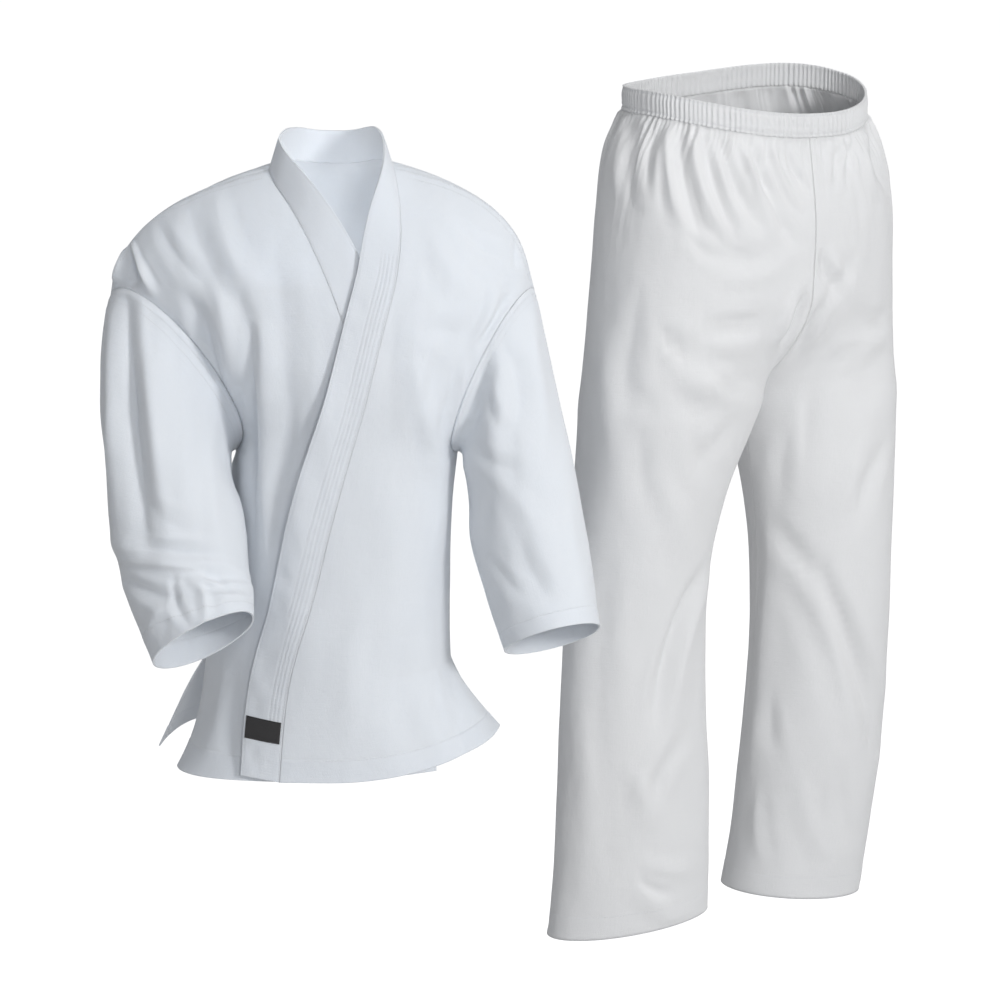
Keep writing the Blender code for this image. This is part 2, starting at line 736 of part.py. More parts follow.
def make_back():
    """The back panel, from its hem over the shoulders to the shoulder seams and the neckline."""
    right, left = neck_points()
    edge = 1 - SEAM / 180
    across = np.concatenate(
        [
            spread(-edge, right - SEAM / 180, FRONT_COLUMNS),
            spread(right, left, 8)[1:-1],
            spread(left + SEAM / 180, edge, FRONT_COLUMNS),
        ]
    )
    rows = 2 - body_levels()[:, None]
    rows = np.maximum(rows, 1 + SEAM / 700)
    level = rows + (neckline(across) - 1) * smooth((1.4 - rows) / 0.4)
    across = np.broadcast_to(across, level.shape)[:, ::-1]
    level = level[:, ::-1]
    sheets = (body(across, level, lift) for lift in (CLOTH / 2, -CLOTH / 2))
    return shell_object("jacket_back", *sheets, WHITE)


def make_front(name, seam, side, lift):
    """One front panel, from the lapel's seam to its side seam and armhole."""
    level = np.minimum(body_levels(), 1 - SEAM / 700)
    inner = lapel_seam(seam, level) + side * SEAM / 180
    outer = side * (1 - SEAM / 180)
    across = inner[:, None] + (outer - inner[:, None]) * spread(0, 1, FRONT_COLUMNS)
    level = np.broadcast_to(level[:, None], across.shape)
    if side < 0:
        across = across[:, ::-1]
    lying = outer_lift(across, level) * lift
    sheets = (body(across, level, lying + wall) for wall in (CLOTH / 2, -CLOTH / 2))
    return shell_object(name, *sheets, WHITE)


def lapel_points():
    """The lapel and collar's middle surface: one band from the outer hem, round the neck, to the inner hem."""
    width = spread(0, 1, 4)
    gap = SEAM / LAPEL_WIDTH
    stand = (CLOTH / 2 + 4 * SEAM) / LAPEL_WIDTH
    level = body_levels()[:, None]
    base = gap + (stand - gap) * smooth((level - 0.86) / 0.10)
    across_band = base + (1 - base) * width
    outer = lapel_front(OUTER_SEAM, 1, level, across_band, 1.0)
    inner = lapel_front(INNER_SEAM, -1, level, across_band, 0.0)
    right, left = neck_points()
    across = spread(left, right, 12)[1:-1]
    behind = lapel_back(across[:, None], stand + (1 - stand) * width)
    return np.concatenate([outer, behind, inner[::-1]])


def make_lapel():
    """The lapel and collar, folded to its full thickness."""
    return band_object("jacket_lapel", lapel_points(), BAND, WHITE, LAPEL_OUT)


def make_label():
    """The blank woven label near the lapel's lower end, laid on the lapel's own points."""
    points = lapel_points()[:4]
    out = grid_normals(points) * LAPEL_OUT
    height = points[..., 2].mean(axis=1)
    row = np.interp(LABEL_HEIGHTS, height, np.arange(4))[:, None]
    column = 3 * np.array(LABEL_REACH)
    rise = BAND / 2 + LABEL_CLEARANCE
    inner = between(points + out * rise, row, column)
    outer = between(points + out * (rise + LABEL), row, column)
    return shell_object("jacket_label", outer[:, ::LAPEL_OUT], inner[:, ::LAPEL_OUT], BLACK)


def between(grid, row, column):
    """Places in a grid of points, at fractions of its rows and columns."""
    r = np.clip(np.floor(row).astype(int), 0, grid.shape[0] - 2)
    c = np.clip(np.floor(column).astype(int), 0, grid.shape[1] - 2)
    up, along_row = (row - r)[..., None], (column - c)[..., None]
    low = grid[r, c] * (1 - along_row) + grid[r, c + 1] * along_row
    high = grid[r + 1, c] * (1 - along_row) + grid[r + 1, c + 1] * along_row
    return low * (1 - up) + high * up


def make_sleeve(name, side):
    """One sleeve, a tube from the armhole to the cuff."""
    level = body_levels()
    turn = math.pi * (1 - (level[level >= UNDERARM] - UNDERARM) / (1 - UNDERARM))
    angle = np.concatenate([turn[::-1], 2 * math.pi - turn[1:-1]])
    speed = np.linalg.norm(sleeve(side, angle, 0.01) - sleeve(side, angle, 0.0), axis=-1) / 0.01
    clear = np.interp(angle, spread(0, 2 * math.pi, 5), CLEAR[side])
    place = np.concatenate([[0], spread(0.04, 1, 14)])[:, None] * np.ones_like(angle)
    place[0] = clear / speed
    angle = np.broadcast_to(angle, place.shape)
    if side < 0:
        angle, place = angle[:, ::-1], place[:, ::-1]
    sheets = (sleeve(side, angle, place, wall) for wall in (CLOTH / 2, -CLOTH / 2))
    return shell_object(name, *sheets, WHITE, closed=True)


def make_leg(name, side):
    """One leg with its half of the seat, cut in one and closed at the inseam."""
    turn = spread(SEAM / 560, 1 - SEAM / 560, 30)
    z = np.concatenate(
        [
            spread(LEG[side]["z"][0], CROTCH, 13)[:-1],
            spread(CROTCH, HIPS, 6)[:-1],
            spread(HIPS, BAND_BOTTOM - 2 * SEAM, 6),
        ]
    )
    turn = turn[None, ::side]
    sheets = (leg(side, turn, z[:, None], wall) for wall in (CLOTH / 2, -CLOTH / 2))
    return shell_object(name, *sheets, WARM_WHITE)


def make_waistband():
    """The gathered casing of the elastic: as many waves as it has, all the way round."""
    angle = spread(2 * math.pi, 0, GATHERS * GATHER_STEPS + 1)[None, :-1]
    z = np.array([BAND_BOTTOM, BAND_BOTTOM + BAND_HEIGHT])[:, None]
    ring = hip_ring(angle, z)
    out = unit((ring - ring.mean(axis=1, keepdims=True)) * [1, 1, 0])
    wave = GATHER_DEPTH * np.cos(angle * GATHERS)[..., None]
    sheets = (ring + out * (wave + wall) for wall in (WAISTBAND / 2, -WAISTBAND / 2))
    return shell_object("trousers_waistband", *sheets, WARM_WHITE, closed=True)


COLLECTION = "karate_uniform"


def main():
    for old in list(bpy.data.objects):
        bpy.data.objects.remove(old)
    collection = bpy.data.collections.new(COLLECTION)
    bpy.context.scene.collection.children.link(collection)
    make_back()
    make_front("jacket_front_outer", OUTER_SEAM, 1, 1.0)
    make_front("jacket_front_inner", INNER_SEAM, -1, 0.0)
    make_lapel()
    make_label()
    make_sleeve("jacket_sleeve_right", -1)
    make_sleeve("jacket_sleeve_left", 1)
    make_leg("trousers_leg_right", -1)
    make_leg("trousers_leg_left", 1)
    make_waistband()


main()
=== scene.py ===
"""Karate uniform, dressed: the same surfaces as its solids, with finer creases, seams, stitches and cotton.

Tables are in millimetres, in the part's own frame: -Y is the front, +X the wearer's left and +Z up.
"""

import math

import bpy
import numpy as np
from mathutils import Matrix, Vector


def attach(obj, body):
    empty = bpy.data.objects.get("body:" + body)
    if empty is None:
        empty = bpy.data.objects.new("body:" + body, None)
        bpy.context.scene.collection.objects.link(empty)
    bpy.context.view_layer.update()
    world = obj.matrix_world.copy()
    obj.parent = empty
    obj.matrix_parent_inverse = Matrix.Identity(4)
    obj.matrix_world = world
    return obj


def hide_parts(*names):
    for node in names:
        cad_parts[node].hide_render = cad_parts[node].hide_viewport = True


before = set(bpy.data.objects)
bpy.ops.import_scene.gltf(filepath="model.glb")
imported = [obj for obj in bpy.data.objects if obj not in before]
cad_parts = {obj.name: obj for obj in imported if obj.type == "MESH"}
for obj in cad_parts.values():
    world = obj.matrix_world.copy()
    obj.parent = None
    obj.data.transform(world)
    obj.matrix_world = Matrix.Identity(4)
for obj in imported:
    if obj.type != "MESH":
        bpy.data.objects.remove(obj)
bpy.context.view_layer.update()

MM = 0.001

# The cloth
CLOTH = 1.3  # wall of a single panel
BAND = 2.6  # wall of the folded lapel
WAISTBAND = 2.4  # wall of the elastic's casing
LABEL = 0.8
SEAM = 0.05  # each of two sewn pieces stops this far short of their seam line
SEAM_DIP = 0.9  # how deep a sewn seam lies in the cloth
HEM = 0.3  # how much thicker a turned hem is, on each face
CREASE = 1.7  # how far the creases' depths below are taken
SEAM_ROLL = 1.4  # how far the cloth stands up along an armhole's seam

LABEL_CLEARANCE = 0.25
LABEL_HEIGHTS = (-636, -611.5)
LABEL_REACH = (0.06, 0.94)

LAPEL_WIDTH = 44.0
COLLAR_WIDTH = 38.0  # it is this wide where it stands round the neck
LAYER = 5.5  # how far the outer front lies off the inner one
LAPEL_LIFT = 9.0  # how far the outer lapel's free edge stands off at the waist
NECK_HALF_WIDTH = 71.0
NECK_DEPTH = 0.12  # how far down the back, in levels, the neckline is scooped

UNDERARM = 0.55  # levels run from 0 at the front hem, over the shoulder seam at 1, to 2 at the back hem
SLIT = 0.18  # the side seam is open below this level
EASE = (-0.06, -0.045, -0.03, -0.015, 0.0, 0.015, 0.03, 0.045, 0.06)  # rows round the underarm, eased together

# Shape helpers


def table(columns, *rows):
    """A short table as a dict of arrays, one for each named column."""
    return {name: np.array(values, float) for name, values in zip(columns.split(), zip(*rows))}


def smooth(x):
    """0 up to 0, 1 from 1 on, and an easy curve between."""
    x = np.clip(x, 0.0, 1.0)
    return x * x * (3 - 2 * x)


def along(rows, column, at):
    """A table's column at the stations in its first column, joined by one smooth curve, straight past its
    ends."""
    stations = next(iter(rows.values()))
    values = rows[column]
    slopes = np.gradient(values, stations)
    past = np.minimum(at - stations[0], 0) * slopes[0] + np.maximum(at - stations[-1], 0) * slopes[-1]
    at = np.clip(at, stations[0], stations[-1])
    i = np.clip(np.searchsorted(stations, at, side="right") - 1, 0, len(stations) - 2)
    step = stations[i + 1] - stations[i]
    t = (at - stations[i]) / step
    rise = t * t * (3 - 2 * t)
    start = t * (1 - t) ** 2 * step * slopes[i]
    end = t * t * (1 - t) * step * slopes[i + 1]
    return values[i] * (1 - rise) + values[i + 1] * rise + start - end + past


def unit(v):
    return v / np.maximum(np.linalg.norm(v, axis=-1, keepdims=True), 1e-9)


def vector(x, y, z):
    return np.stack(np.broadcast_arrays(x, y, z), axis=-1).astype(float)


def normals(surface, u, v):
    """The surface's unit normals, from small steps to each side."""
    du, dv = 1e-3, 1e-3
    across = surface(u + du, v) - surface(u - du, v)
    up = surface(u, v + dv) - surface(u, v - dv)
    return unit(np.cross(across, up))


def fold_height(points, facing, folds):
    """How far the folds in a table move each point out. A fold runs straight from one place to another as
    seen from the front, fades towards its ends, and shows on the side that it is listed for."""
    height = np.zeros(points.shape[:-1])
    for x0, z0, x1, z1, width, out, side in zip(*folds.values()):
        run = np.array([x1 - x0, z1 - z0])
        place = points[..., [0, 2]] - np.array([x0, z0])
        t = np.clip((place @ run) / (run @ run), 0, 1)
        distance = np.linalg.norm(place - t[..., None] * run, axis=-1)
        fade = np.sin(math.pi * np.clip(0.08 + 0.84 * t, 0, 1)) ** 0.7
        height += out * fade * np.exp(-((distance / width) ** 2)) * smooth(0.2 + 1.6 * side * facing)
    return height


# The jacket's body

CENTRE = table(
    "level y z",
    (0.00, -128, -681),
    (0.18, -118, -565),
    (0.35, -110, -455),
    (0.55, -114, -322),
    (0.75, -116, -200),
    (0.88, -92, -100),
    (1.00, -14, 9),
    (1.12, 72, 1),
    (1.25, 98, -80),
    (1.45, 108, -322),
    (1.65, 95, -455),
    (1.82, 104, -565),
    (2.00, 122, -681),
)

# The side seams, from the hem up to the underarm
SIDE_SEAM = {
    -1: table(
        "level x y z",
        (0.00, -158, 4, -684),
        (0.18, -151, 12, -565),
        (0.35, -128, 34, -455),
        (0.46, -128, 34, -384),
        (0.515, -121, 28, -346),
        (0.55, -112, 22, -322),
    ),
    1: table(
        "level x y z",
        (0.00, 142, 0, -684),
        (0.18, 132, 0, -565),
        (0.35, 131, 0, -455),
        (0.55, 138, 0, -322),
    ),
}

# How far the hem's four corners swing out past the side seams, as (x, y, z), and how late in the slit
HEM_CORNER = {
    (-1, "front"): (-24, -38, 0),
    (1, "front"): (47, -26, 44),
    (-1, "back"): (-56, 52, -2),
    (1, "back"): (44, 52, 20),
}
FLARE = {(-1, "front"): 2.6, (1, "front"): 1.2, (-1, "back"): 0.9, (1, "back"): 1.2}
# How far the hem beside each corner is pulled from where it would run, where it curls away from the eye
HEM_CURL = {(-1, "front"): (0, 0, 0), (1, "front"): (0, 0, 0), (-1, "back"): (46, 30, 44), (1, "back"): (0, 0, 0)}

# Each armhole is an ellipse through its top on the shoulder seam and its underarm point. "front" goes from
# its middle to its front point.
ARMHOLE = {
    -1: {"top": (-246, -16, -136), "under": (-112, 22, -322), "front": (36, -66, 26)},
    1: {"top": (225, -10, -135), "under": (138, 0, -322), "front": (-20, -72, 8)},
}
# How far each sleeve's edge stands off its armhole, at each quarter turn from the top through the front. It
# is most where the two walls fold together.
CLEAR = {-1: (0.4, 1.6, 3.4, 1.2, 0.4), 1: (0.4, 0.8, 2.0, 0.8, 0.4)}

# Which way the body's cloth arrives at the armhole, from the underarm (0) to the top (1)
ARRIVAL = {
    -1: table(
        "place out back down handle",
        (0.00, 0.00, 1.00, 0.00, 66),
        (0.25, 0.35, 0.90, 0.10, 66),
        (0.50, 0.55, 0.75, 0.30, 62),
        (0.75, 0.45, 0.30, 0.85, 74),
        (1.00, 0.03, 0.00, 1.00, 94),
    ),
    1: table(
        "place out back down handle",
        (0.00, 0.00, 1.00, 0.00, 62),
        (0.25, 0.40, 0.90, 0.20, 66),
        (0.50, 0.70, 0.55, 0.50, 70),
        (0.75, 0.50, 0.15, 0.85, 88),
        (1.00, 0.03, 0.00, 1.00, 118),
    ),
}

# How far each row runs straight out from the middle, as a share of its half width, and how far it drops
REACH = table(
    "level share drop",
    (0.00, 0.62, 0),
    (0.35, 0.60, 0),
    (0.55, 0.58, 0),
    (0.78, 0.46, 0),
    (0.88, 0.43, 0),
    (1.00, 0.42, 7),
    (1.12, 0.43, 0),
    (1.22, 0.46, 0),
    (1.45, 0.60, 0),
    (2.00, 0.62, 0),
)

JACKET_FOLDS = table(
    "x0 z0 x1 z1 width out side",
    (-72, -190, -78, -470, 17, 7, 1),  # long fold down beside the bent sleeve
    (-100, -150, -88, -330, 14, -6, 1),
    (-50, -300, -70, -560, 20, -4, 1),
    (96, -215, 118, -330, 12, 6, 1),  # folds that run to the straight sleeve's underarm
    (130, -180, 96, -280, 11, -5, 1),
    (112, -420, 122, -560, 14, -5, 1),
    (60, -330, 80, -520, 24, 3, 1),
    (134, -560, 150, -680, 13, -6, 1),  # where the hem's corner kicks out
    (-110, -120, -60, -330, 16, 6, -1),  # the back falls in long folds
    (110, -120, 70, -340, 16, 6, -1),
    (-50, -330, -62, -600, 20, -6, -1),
    (48, -330, 60, -600, 20, -6, -1),
    (0, -380, 4, -640, 22, 5, -1),
)


def armhole(side, angle):
    """A point on the armhole, from its top at angle 0 through its front to the underarm at pi."""
    loop = ARMHOLE[side]
    top, under, front = (np.array(loop[k], float) for k in ("top", "under", "front"))
    return (
        (top + under) / 2 + np.cos(angle)[..., None] * (top - under) / 2 + np.sin(angle)[..., None] * front
    )


def body_edge(side, level):
    """The body's outer edge on one side: the slit and side seam, and above them the armhole."""
    height = np.minimum(level, 2 - level)
    seam = vector(*(along(SIDE_SEAM[side], column, height) for column in "xyz"))
    slit = np.clip(1 - height / SLIT, 0, 1)[..., None]
    for half, there in (("front", level <= 1), ("back", level > 1)):
        seam = seam + np.array(HEM_CORNER[side, half]) * slit ** FLARE[side, half] * there[..., None]
    turn = math.pi * (1 - (height - UNDERARM) / (1 - UNDERARM))
    angle = np.where(level <= 1, turn, -turn)
    return np.where((height >= UNDERARM)[..., None], armhole(side, angle), seam)


def body_half(side, share, level):
    """The body from its middle (share 0) to one side (share 1): each row is one cubic curve."""
    height = np.minimum(level, 2 - level)
    facing = np.where(level <= 1, 1.0, -1.0)
    middle = vector(0 * level, along(CENTRE, "y", level), along(CENTRE, "z", level))
    edge = body_edge(side, level)
    eased = sum(body_edge(side, level + step) for step in EASE) / len(EASE)
    eased = edge + (eased - edge) * smooth(1.4 - 6 * np.abs(height - UNDERARM))[..., None]
    place = np.clip((height - UNDERARM) / (1 - UNDERARM), 0, 1)
    arrival = ARRIVAL[side]
    arrive = unit(
        vector(
            side * along(arrival, "out", place),
            facing * along(arrival, "back", place),
            -along(arrival, "down", place),
        )
    )
    half_width = np.abs(eased[..., 0])
    near = middle + vector(side * half_width * along(REACH, "share", level), 0, -along(REACH, "drop", level))
    far = eased - arrive * along(arrival, "handle", place)[..., None]
    slit = np.clip(1 - height / SLIT, 0, 1)[..., None] ** 1.5
    for half, there in (("front", level <= 1), ("back", level > 1)):
        far = far + np.array(HEM_CURL[side, half]) * slit * there[..., None]
    t = share[..., None]
    s = 1 - t
    last = eased + (edge - eased) * t**8
    return s**3 * middle + 3 * s * s * t * near + 3 * s * t * t * far + t**3 * last


def body_plain(across, level):
    """The body's surface without folds. across runs from -1 at the wearer's right side to 1 at the left."""
    across, level = np.broadcast_arrays(across, level)
    left = body_half(1, np.abs(across), level)
    right = body_half(-1, np.abs(across), level)
    return np.where((across >= 0)[..., None], left, right)


def body(across, level, lift=0.0):
    """The body's surface with its folds, moved out by lift."""
    across, level = np.broadcast_arrays(np.asarray(across, float), np.asarray(level, float))
    points = body_plain(across, level)
    out = normals(body_plain, across, level)
    fade = smooth((1 - np.abs(across)) / 0.12) * smooth(np.abs(1 - level) / 0.08)
    folds = fade * fold_height(points, -out[..., 1], JACKET_FOLDS)
    edge = smooth((1 - np.abs(across)) / 0.05)
    folds = folds + edge * cloth_height(points, -out[..., 1], BODY_CREASES, 1)
    folds = folds - SEAM_DIP * np.exp(-(((1 - level) / 0.0035) ** 2))
    return points + out * (folds + lift)[..., None]


# The fronts and the lapel

# Where the lapel is sewn to each front, seen from the front
OUTER_SEAM = table(
    "z x",
    (-700, -60),
    (-555, -42),
    (-484, -21),
    (-385, 3),
    (-322, 20),
    (-247, 42),
    (-168, 62),
    (-115, 75),
    (-45, 78),
    (-5, 71),
    (20, 66),
)
INNER_SEAM = table(
    "z x",
    (-700, 76),
    (-520, 64),
    (-420, 56),
    (-330, 48),
    (-250, 38),
    (-168, 18),
    (-80, -20),
    (-34, -48),
    (-14, -63),
    (2, -71),
    (20, -77),
)


def outer_lift(across, level):
    """The outer front lies off the inner one, and joins the body at its side and shoulder seams."""
    return LAYER * smooth((0.95 - across) / 0.35) * smooth((1 - level) / 0.10)


def lapel_seam(seam, level):
    """How far across the body each level meets the lapel's seam, by halving."""
    low, high = np.full(level.shape, -0.9), np.full(level.shape, 0.9)
    for _ in range(40):
        middle = (low + high) / 2
        points = body_plain(middle, level)
        beyond = points[..., 0] > along(seam, "x", points[..., 2])
        low, high = np.where(beyond, low, middle), np.where(beyond, middle, high)
    return (low + high) / 2


def place_on_front(x, z, across, level):
    """The body's (across, level) at x and z on its front, by Newton steps from a first guess."""
    step = 1e-3
    for _ in range(12):
        here = body_plain(across, level)[..., [0, 2]]
        by_across = (body_plain(across + step, level)[..., [0, 2]] - here) / step
        by_level = (body_plain(across, level + step)[..., [0, 2]] - here) / step
        miss = np.stack([x, z], axis=-1) - here
        area = by_across[..., 0] * by_level[..., 1] - by_across[..., 1] * by_level[..., 0]
        area = np.where(np.abs(area) < 1e3, 1e3, area)
        move = (miss[..., 0] * by_level[..., 1] - miss[..., 1] * by_level[..., 0]) / area
        climb = (miss[..., 1] * by_across[..., 0] - miss[..., 0] * by_across[..., 1]) / area
        across = np.clip(across + np.clip(move, -0.1, 0.1), -0.95, 0.95)
        level = np.clip(level + np.clip(climb, -0.06, 0.06), -0.05, 1.0)
    return across, level


def lapel_front(seam, side, level, width, lift):
    """The lapel beside one front: it lies on the body, and stands up towards the shoulder.
    level gives the stations along it, and width runs from the seam (0) to the free edge (1)."""
    level, width = np.broadcast_arrays(level, width)
    across = lapel_seam(seam, level)
    sewn = body(across, level, outer_lift(across, level) * lift)
    step = 2e-3
    ahead = body_plain(lapel_seam(seam, level + step), level + step)
    behind = body_plain(lapel_seam(seam, level - step), level - step)
    run = unit((ahead - behind)[..., [0, 2]])
    start = body_plain(across, level)
    reach = LAPEL_WIDTH * width
    x = start[..., 0] - side * run[..., 1] * reach
    z = start[..., 2] + side * run[..., 0] * reach
    where = place_on_front(x, z, across, level)
    stand_off = lift * (
        outer_lift(*where) + LAPEL_LIFT * width * smooth((start[..., 2] + 520) / 130) * smooth((-170 - start[..., 2]) / 120)
    )
    lying = body(*where, stand_off) - sewn
    upright = unit(np.array([-0.30 * side, -0.05, 0.95])) * reach[..., None]
    stand = smooth((start[..., 2] + 125) / 125)[..., None]
    mixed = lying * (1 - stand) + upright * stand
    wanted = width[..., None] * (LAPEL_WIDTH + (COLLAR_WIDTH - LAPEL_WIDTH) * stand)
    stretch = wanted / np.maximum(np.linalg.norm(mixed, axis=-1, keepdims=True), 1e-6)
    return sewn + mixed * np.where(stand > 0, stretch, 1.0)


def neck_points():
    """How far across the two points are where the shoulder seams meet the lapel."""
    shoulder = np.array([1.0])
    return lapel_seam(INNER_SEAM, shoulder)[0], lapel_seam(OUTER_SEAM, shoulder)[0]


def neckline(across):
    """The level of the back neckline, scooped between the two shoulder points."""
    right, left = neck_points()
    half = np.where(across > 0, left, -right)
    return 1 + NECK_DEPTH * (1 - np.clip(np.abs(across) / half, 0, 1) ** 2.4)


def lapel_back(across, width):
    """The lapel round the back of the neck, where it stands as a low collar."""
    across, width = np.broadcast_arrays(across, width)
    sewn = body(across, neckline(across))
    lean = sewn[..., 0] / NECK_HALF_WIDTH
    up = unit(vector(-0.30 * lean, -0.05 - 0.10 * (1 - lean**2), 0.95 + 0 * lean))
    return sewn + up * (COLLAR_WIDTH * width)[..., None]


# The sleeves

# Sections from the armhole (0) to the cuff (1): the outer and inner point, the middle's y, and the step
# from the middle to the section's front point
SLEEVE = {
    -1: table(
        "place outer_x outer_z inner_x inner_z y front_x front_y front_z",
        (0.00, -246, -136, -112, -322, 3, 36, -66, 26),
        (0.04, -251, -153, -121, -327, -6, 33, -69, 23),
        (0.14, -257, -198, -119, -344, -34, 24, -72, 16),
        (0.30, -259, -256, -104, -368, -62, 8, -70, 10),
        (0.50, -252, -330, -96, -402, -82, 2, -66, 10),
        (0.68, -245, -408, -93, -438, -96, 0, -62, 14),
        (0.80, -233, -458, -88, -460, -108, 2, -60, 20),
        (1.00, -194, -541, -86, -483, -150, -8, -55, 27),
    ),
    1: table(
        "place outer_x outer_z inner_x inner_z y front_x front_y front_z",
        (0.00, 225, -135, 138, -322, -5, -20, -72, 8),
        (0.04, 230, -150, 147, -326, -7, -19, -72, 8),
        (0.15, 240, -192, 151, -344, -14, -14, -73, 8),
        (0.30, 255, -258, 155, -376, -24, -7, -72, 9),
        (0.50, 273, -338, 156, -420, -38, -3, -68, 12),
        (0.75, 291, -433, 173, -476, -58, -3, -64, 18),
        (1.00, 303, -512, 195, -541, -80, -3, -60, 24),
    ),
}

# Folds round a sleeve: where each lies along it and round it (in turns from the top, towards the front),
# how it slants, and its size
SLEEVE_FOLDS = {
    -1: table(
        "place turn slant reach width out",
        (0.70, 0.20, 0.02, 0.16, 0.030, 7),
        (0.76, 0.24, 0.05, 0.18, 0.026, -7),
        (0.82, 0.34, -0.04, 0.10, 0.022, 4),
        (0.90, 0.36, 0.10, 0.08, 0.022, 3),
        (0.30, 0.12, 0.60, 0.05, 0.100, -6),
        (0.72, 0.72, 0.04, 0.16, 0.034, -5),
        (0.40, 0.75, -0.40, 0.08, 0.080, 5),
        (1.00, 0.22, 0.00, 0.14, 0.070, -5),
    ),
    1: table(
        "place turn slant reach width out",
        (0.18, 0.24, 0.50, 0.06, 0.060, 4),
        (0.45, 0.36, 0.90, 0.05, 0.120, -5),
        (0.80, 0.26, -0.90, 0.06, 0.090, -4),
        (0.55, 0.70, 0.60, 0.06, 0.100, 5),
        (0.25, 0.80, 0.50, 0.06, 0.080, -4),
    ),
}


def sleeve_plain(side, angle, place):
    """A sleeve's surface without folds: sections between its armhole and its cuff."""
    rows = SLEEVE[side]
    get = {column: along(rows, column, place) for column in rows}
    outer = vector(get["outer_x"], get["y"], get["outer_z"])
    inner = vector(get["inner_x"], get["y"], get["inner_z"])
    front = vector(get["front_x"], get["front_y"], get["front_z"])
    loop = ARMHOLE[side]
    slope = (loop["top"][1] - loop["under"][1]) / 2 * smooth(1 - place / 0.3)
    half = (outer - inner) / 2 + vector(0, slope, 0)
    return (outer + inner) / 2 + np.cos(angle)[..., None] * half + np.sin(angle)[..., None] * front


def sleeve(side, angle, place, lift=0.0):
    """A sleeve's surface with its folds, moved out by lift."""
    angle, place = np.broadcast_arrays(np.asarray(angle, float), np.asarray(place, float))

    def plain(a, p):
        return sleeve_plain(side, a, p)

    points = plain(angle, place)
    out = normals(plain, angle, place) * side
    height = np.zeros(points.shape[:-1])
    for at, turn, slant, reach, width, rise in zip(*SLEEVE_FOLDS[side].values()):
        round_it = (angle / (2 * math.pi) - turn + 0.5) % 1 - 0.5
        off = (place - at - slant * round_it) / width
        height += rise * np.exp(-(off**2) - (round_it / reach) ** 2)
    fine = cloth_height(points, -out[..., 1], SLEEVE_CREASES[side], 2 + side)
    roll = SEAM_ROLL * smooth(-2 * out[..., 1]) * np.exp(-(((place - 0.012) / 0.009) ** 2))
    fine = fine * smooth(place / 0.03) + roll
    return points + out * (height * smooth(place / 0.1) + fine + lift)[..., None]


# The trousers

HIP_CENTRE = (481.0, 200.0)
TURN = math.radians(40)  # the trousers face this far towards the wearer's left
CROTCH = -285.0
HIPS = -150.0
CROTCH_GAP = 1.1  # each leg's inseam stands this far off the middle where they meet
BAND_BOTTOM = 54.0
BAND_HEIGHT = 28.0
# How far the waist's edge rises from level: at the back, at the wearer's left, at both sides, and between them
WAIST_BACK, WAIST_LEFT, WAIST_SIDES, WAIST_TWIST = 20.0, 6.0, 7.0, 5.0
SQUARE = 0.88  # the hips and waist are a little squarer than an ellipse, which is 1
GATHERS = 84
GATHER_DEPTH = 1.5
GATHER_STEPS = 4

# The hips and waist as one ring: half width, half depth, and the middle's place
HIP_RING = table(
    "z width depth x y",
    (-290, 219, 117, 480, 204),
    (-230, 220, 116, 481, 204),
    (-150, 217, 115, 483, 202),
    (-60, 208, 116, 484, 200),
    (10, 190, 112, 482, 200),
    (54, 165, 106, 482, 200),
    (83, 164, 105, 482, 200),
)

# The legs, up from the hem: the edges that show from the front, the middle's y, the half thickness and turn
LEG = {
    -1: table(
        "z left right y thick turn tilt",
        (-915, 247, 443, 104, 56, 24, 8),
        (-850, 253, 444, 106, 58, 26, 4),
        (-740, 258, 443, 110, 62, 30, 0),
        (-600, 263, 437, 118, 68, 34, 0),
        (-480, 271, 441, 124, 76, 36, 0),
        (-370, 279, 467, 130, 86, 38, 0),
        (-285, 283, 500, 134, 94, 40, 0),
    ),
    1: table(
        "z left right y thick turn tilt",
        (-915, 467, 641, 250, 66, 12, 6),
        (-850, 477, 651, 250, 68, 12, 2),
        (-740, 488, 665, 248, 70, 16, 0),
        (-600, 497, 670, 248, 74, 20, 0),
        (-480, 495, 673, 250, 80, 26, 0),
        (-370, 483, 675, 256, 88, 34, 0),
        (-285, 480, 676, 262, 94, 40, 0),
    ),
}

TROUSER_FOLDS = table(
    "x0 z0 x1 z1 width out side",
    (400, -245, 455, -262, 16, 8, 1),  # creases across the near thigh
    (395, -275, 450, -290, 14, -7, 1),
    (420, -345, 470, -300, 12, -5, 1),
    (340, -260, 372, -285, 12, -4, 1),
    (378, -640, 416, -500, 12, -5, 1),  # long slanting folds below the near knee
    (340, -800, 400, -620, 18, 4, 1),
    (350, -860, 390, -900, 14, 4, 1),
    (600, -250, 650, -225, 14, 6, 1),  # the far leg's thigh and shin
    (610, -290, 650, -275, 14, -5, 1),
    (560, -520, 660, -720, 20, -7, 1),
    (520, -440, 500, -740, 16, 5, 1),
    (600, -760, 560, -880, 22, -4, 1),
    (330, -330, 400, -280, 18, 6, -1),  # creases behind the knees and seat
    (560, -330, 640, -280, 18, 6, -1),
    (300, -560, 420, -600, 18, -6, -1),
    (520, -560, 650, -600, 18, -6, -1),
    (480, -140, 470, -260, 16, -6, -1),
)

# Folds that fall from the gathered waist, by turn round each half from the front seam to the back seam
WAIST_FOLDS = table(
    "turn width length out",
    (0.08, 0.020, 90, 1.8),
    (0.14, 0.022, 170, 3.6),
    (0.21, 0.024, 150, 4.5),
    (0.30, 0.026, 190, 5.0),
    (0.39, 0.024, 130, 4.0),
    (0.48, 0.026, 110, 3.5),
    (0.58, 0.026, 120, 4.0),
    (0.67, 0.024, 150, 4.5),
    (0.76, 0.024, 130, 4.0),
    (0.85, 0.024, 160, 4.5),
    (0.93, 0.020, 120, 3.5),
)


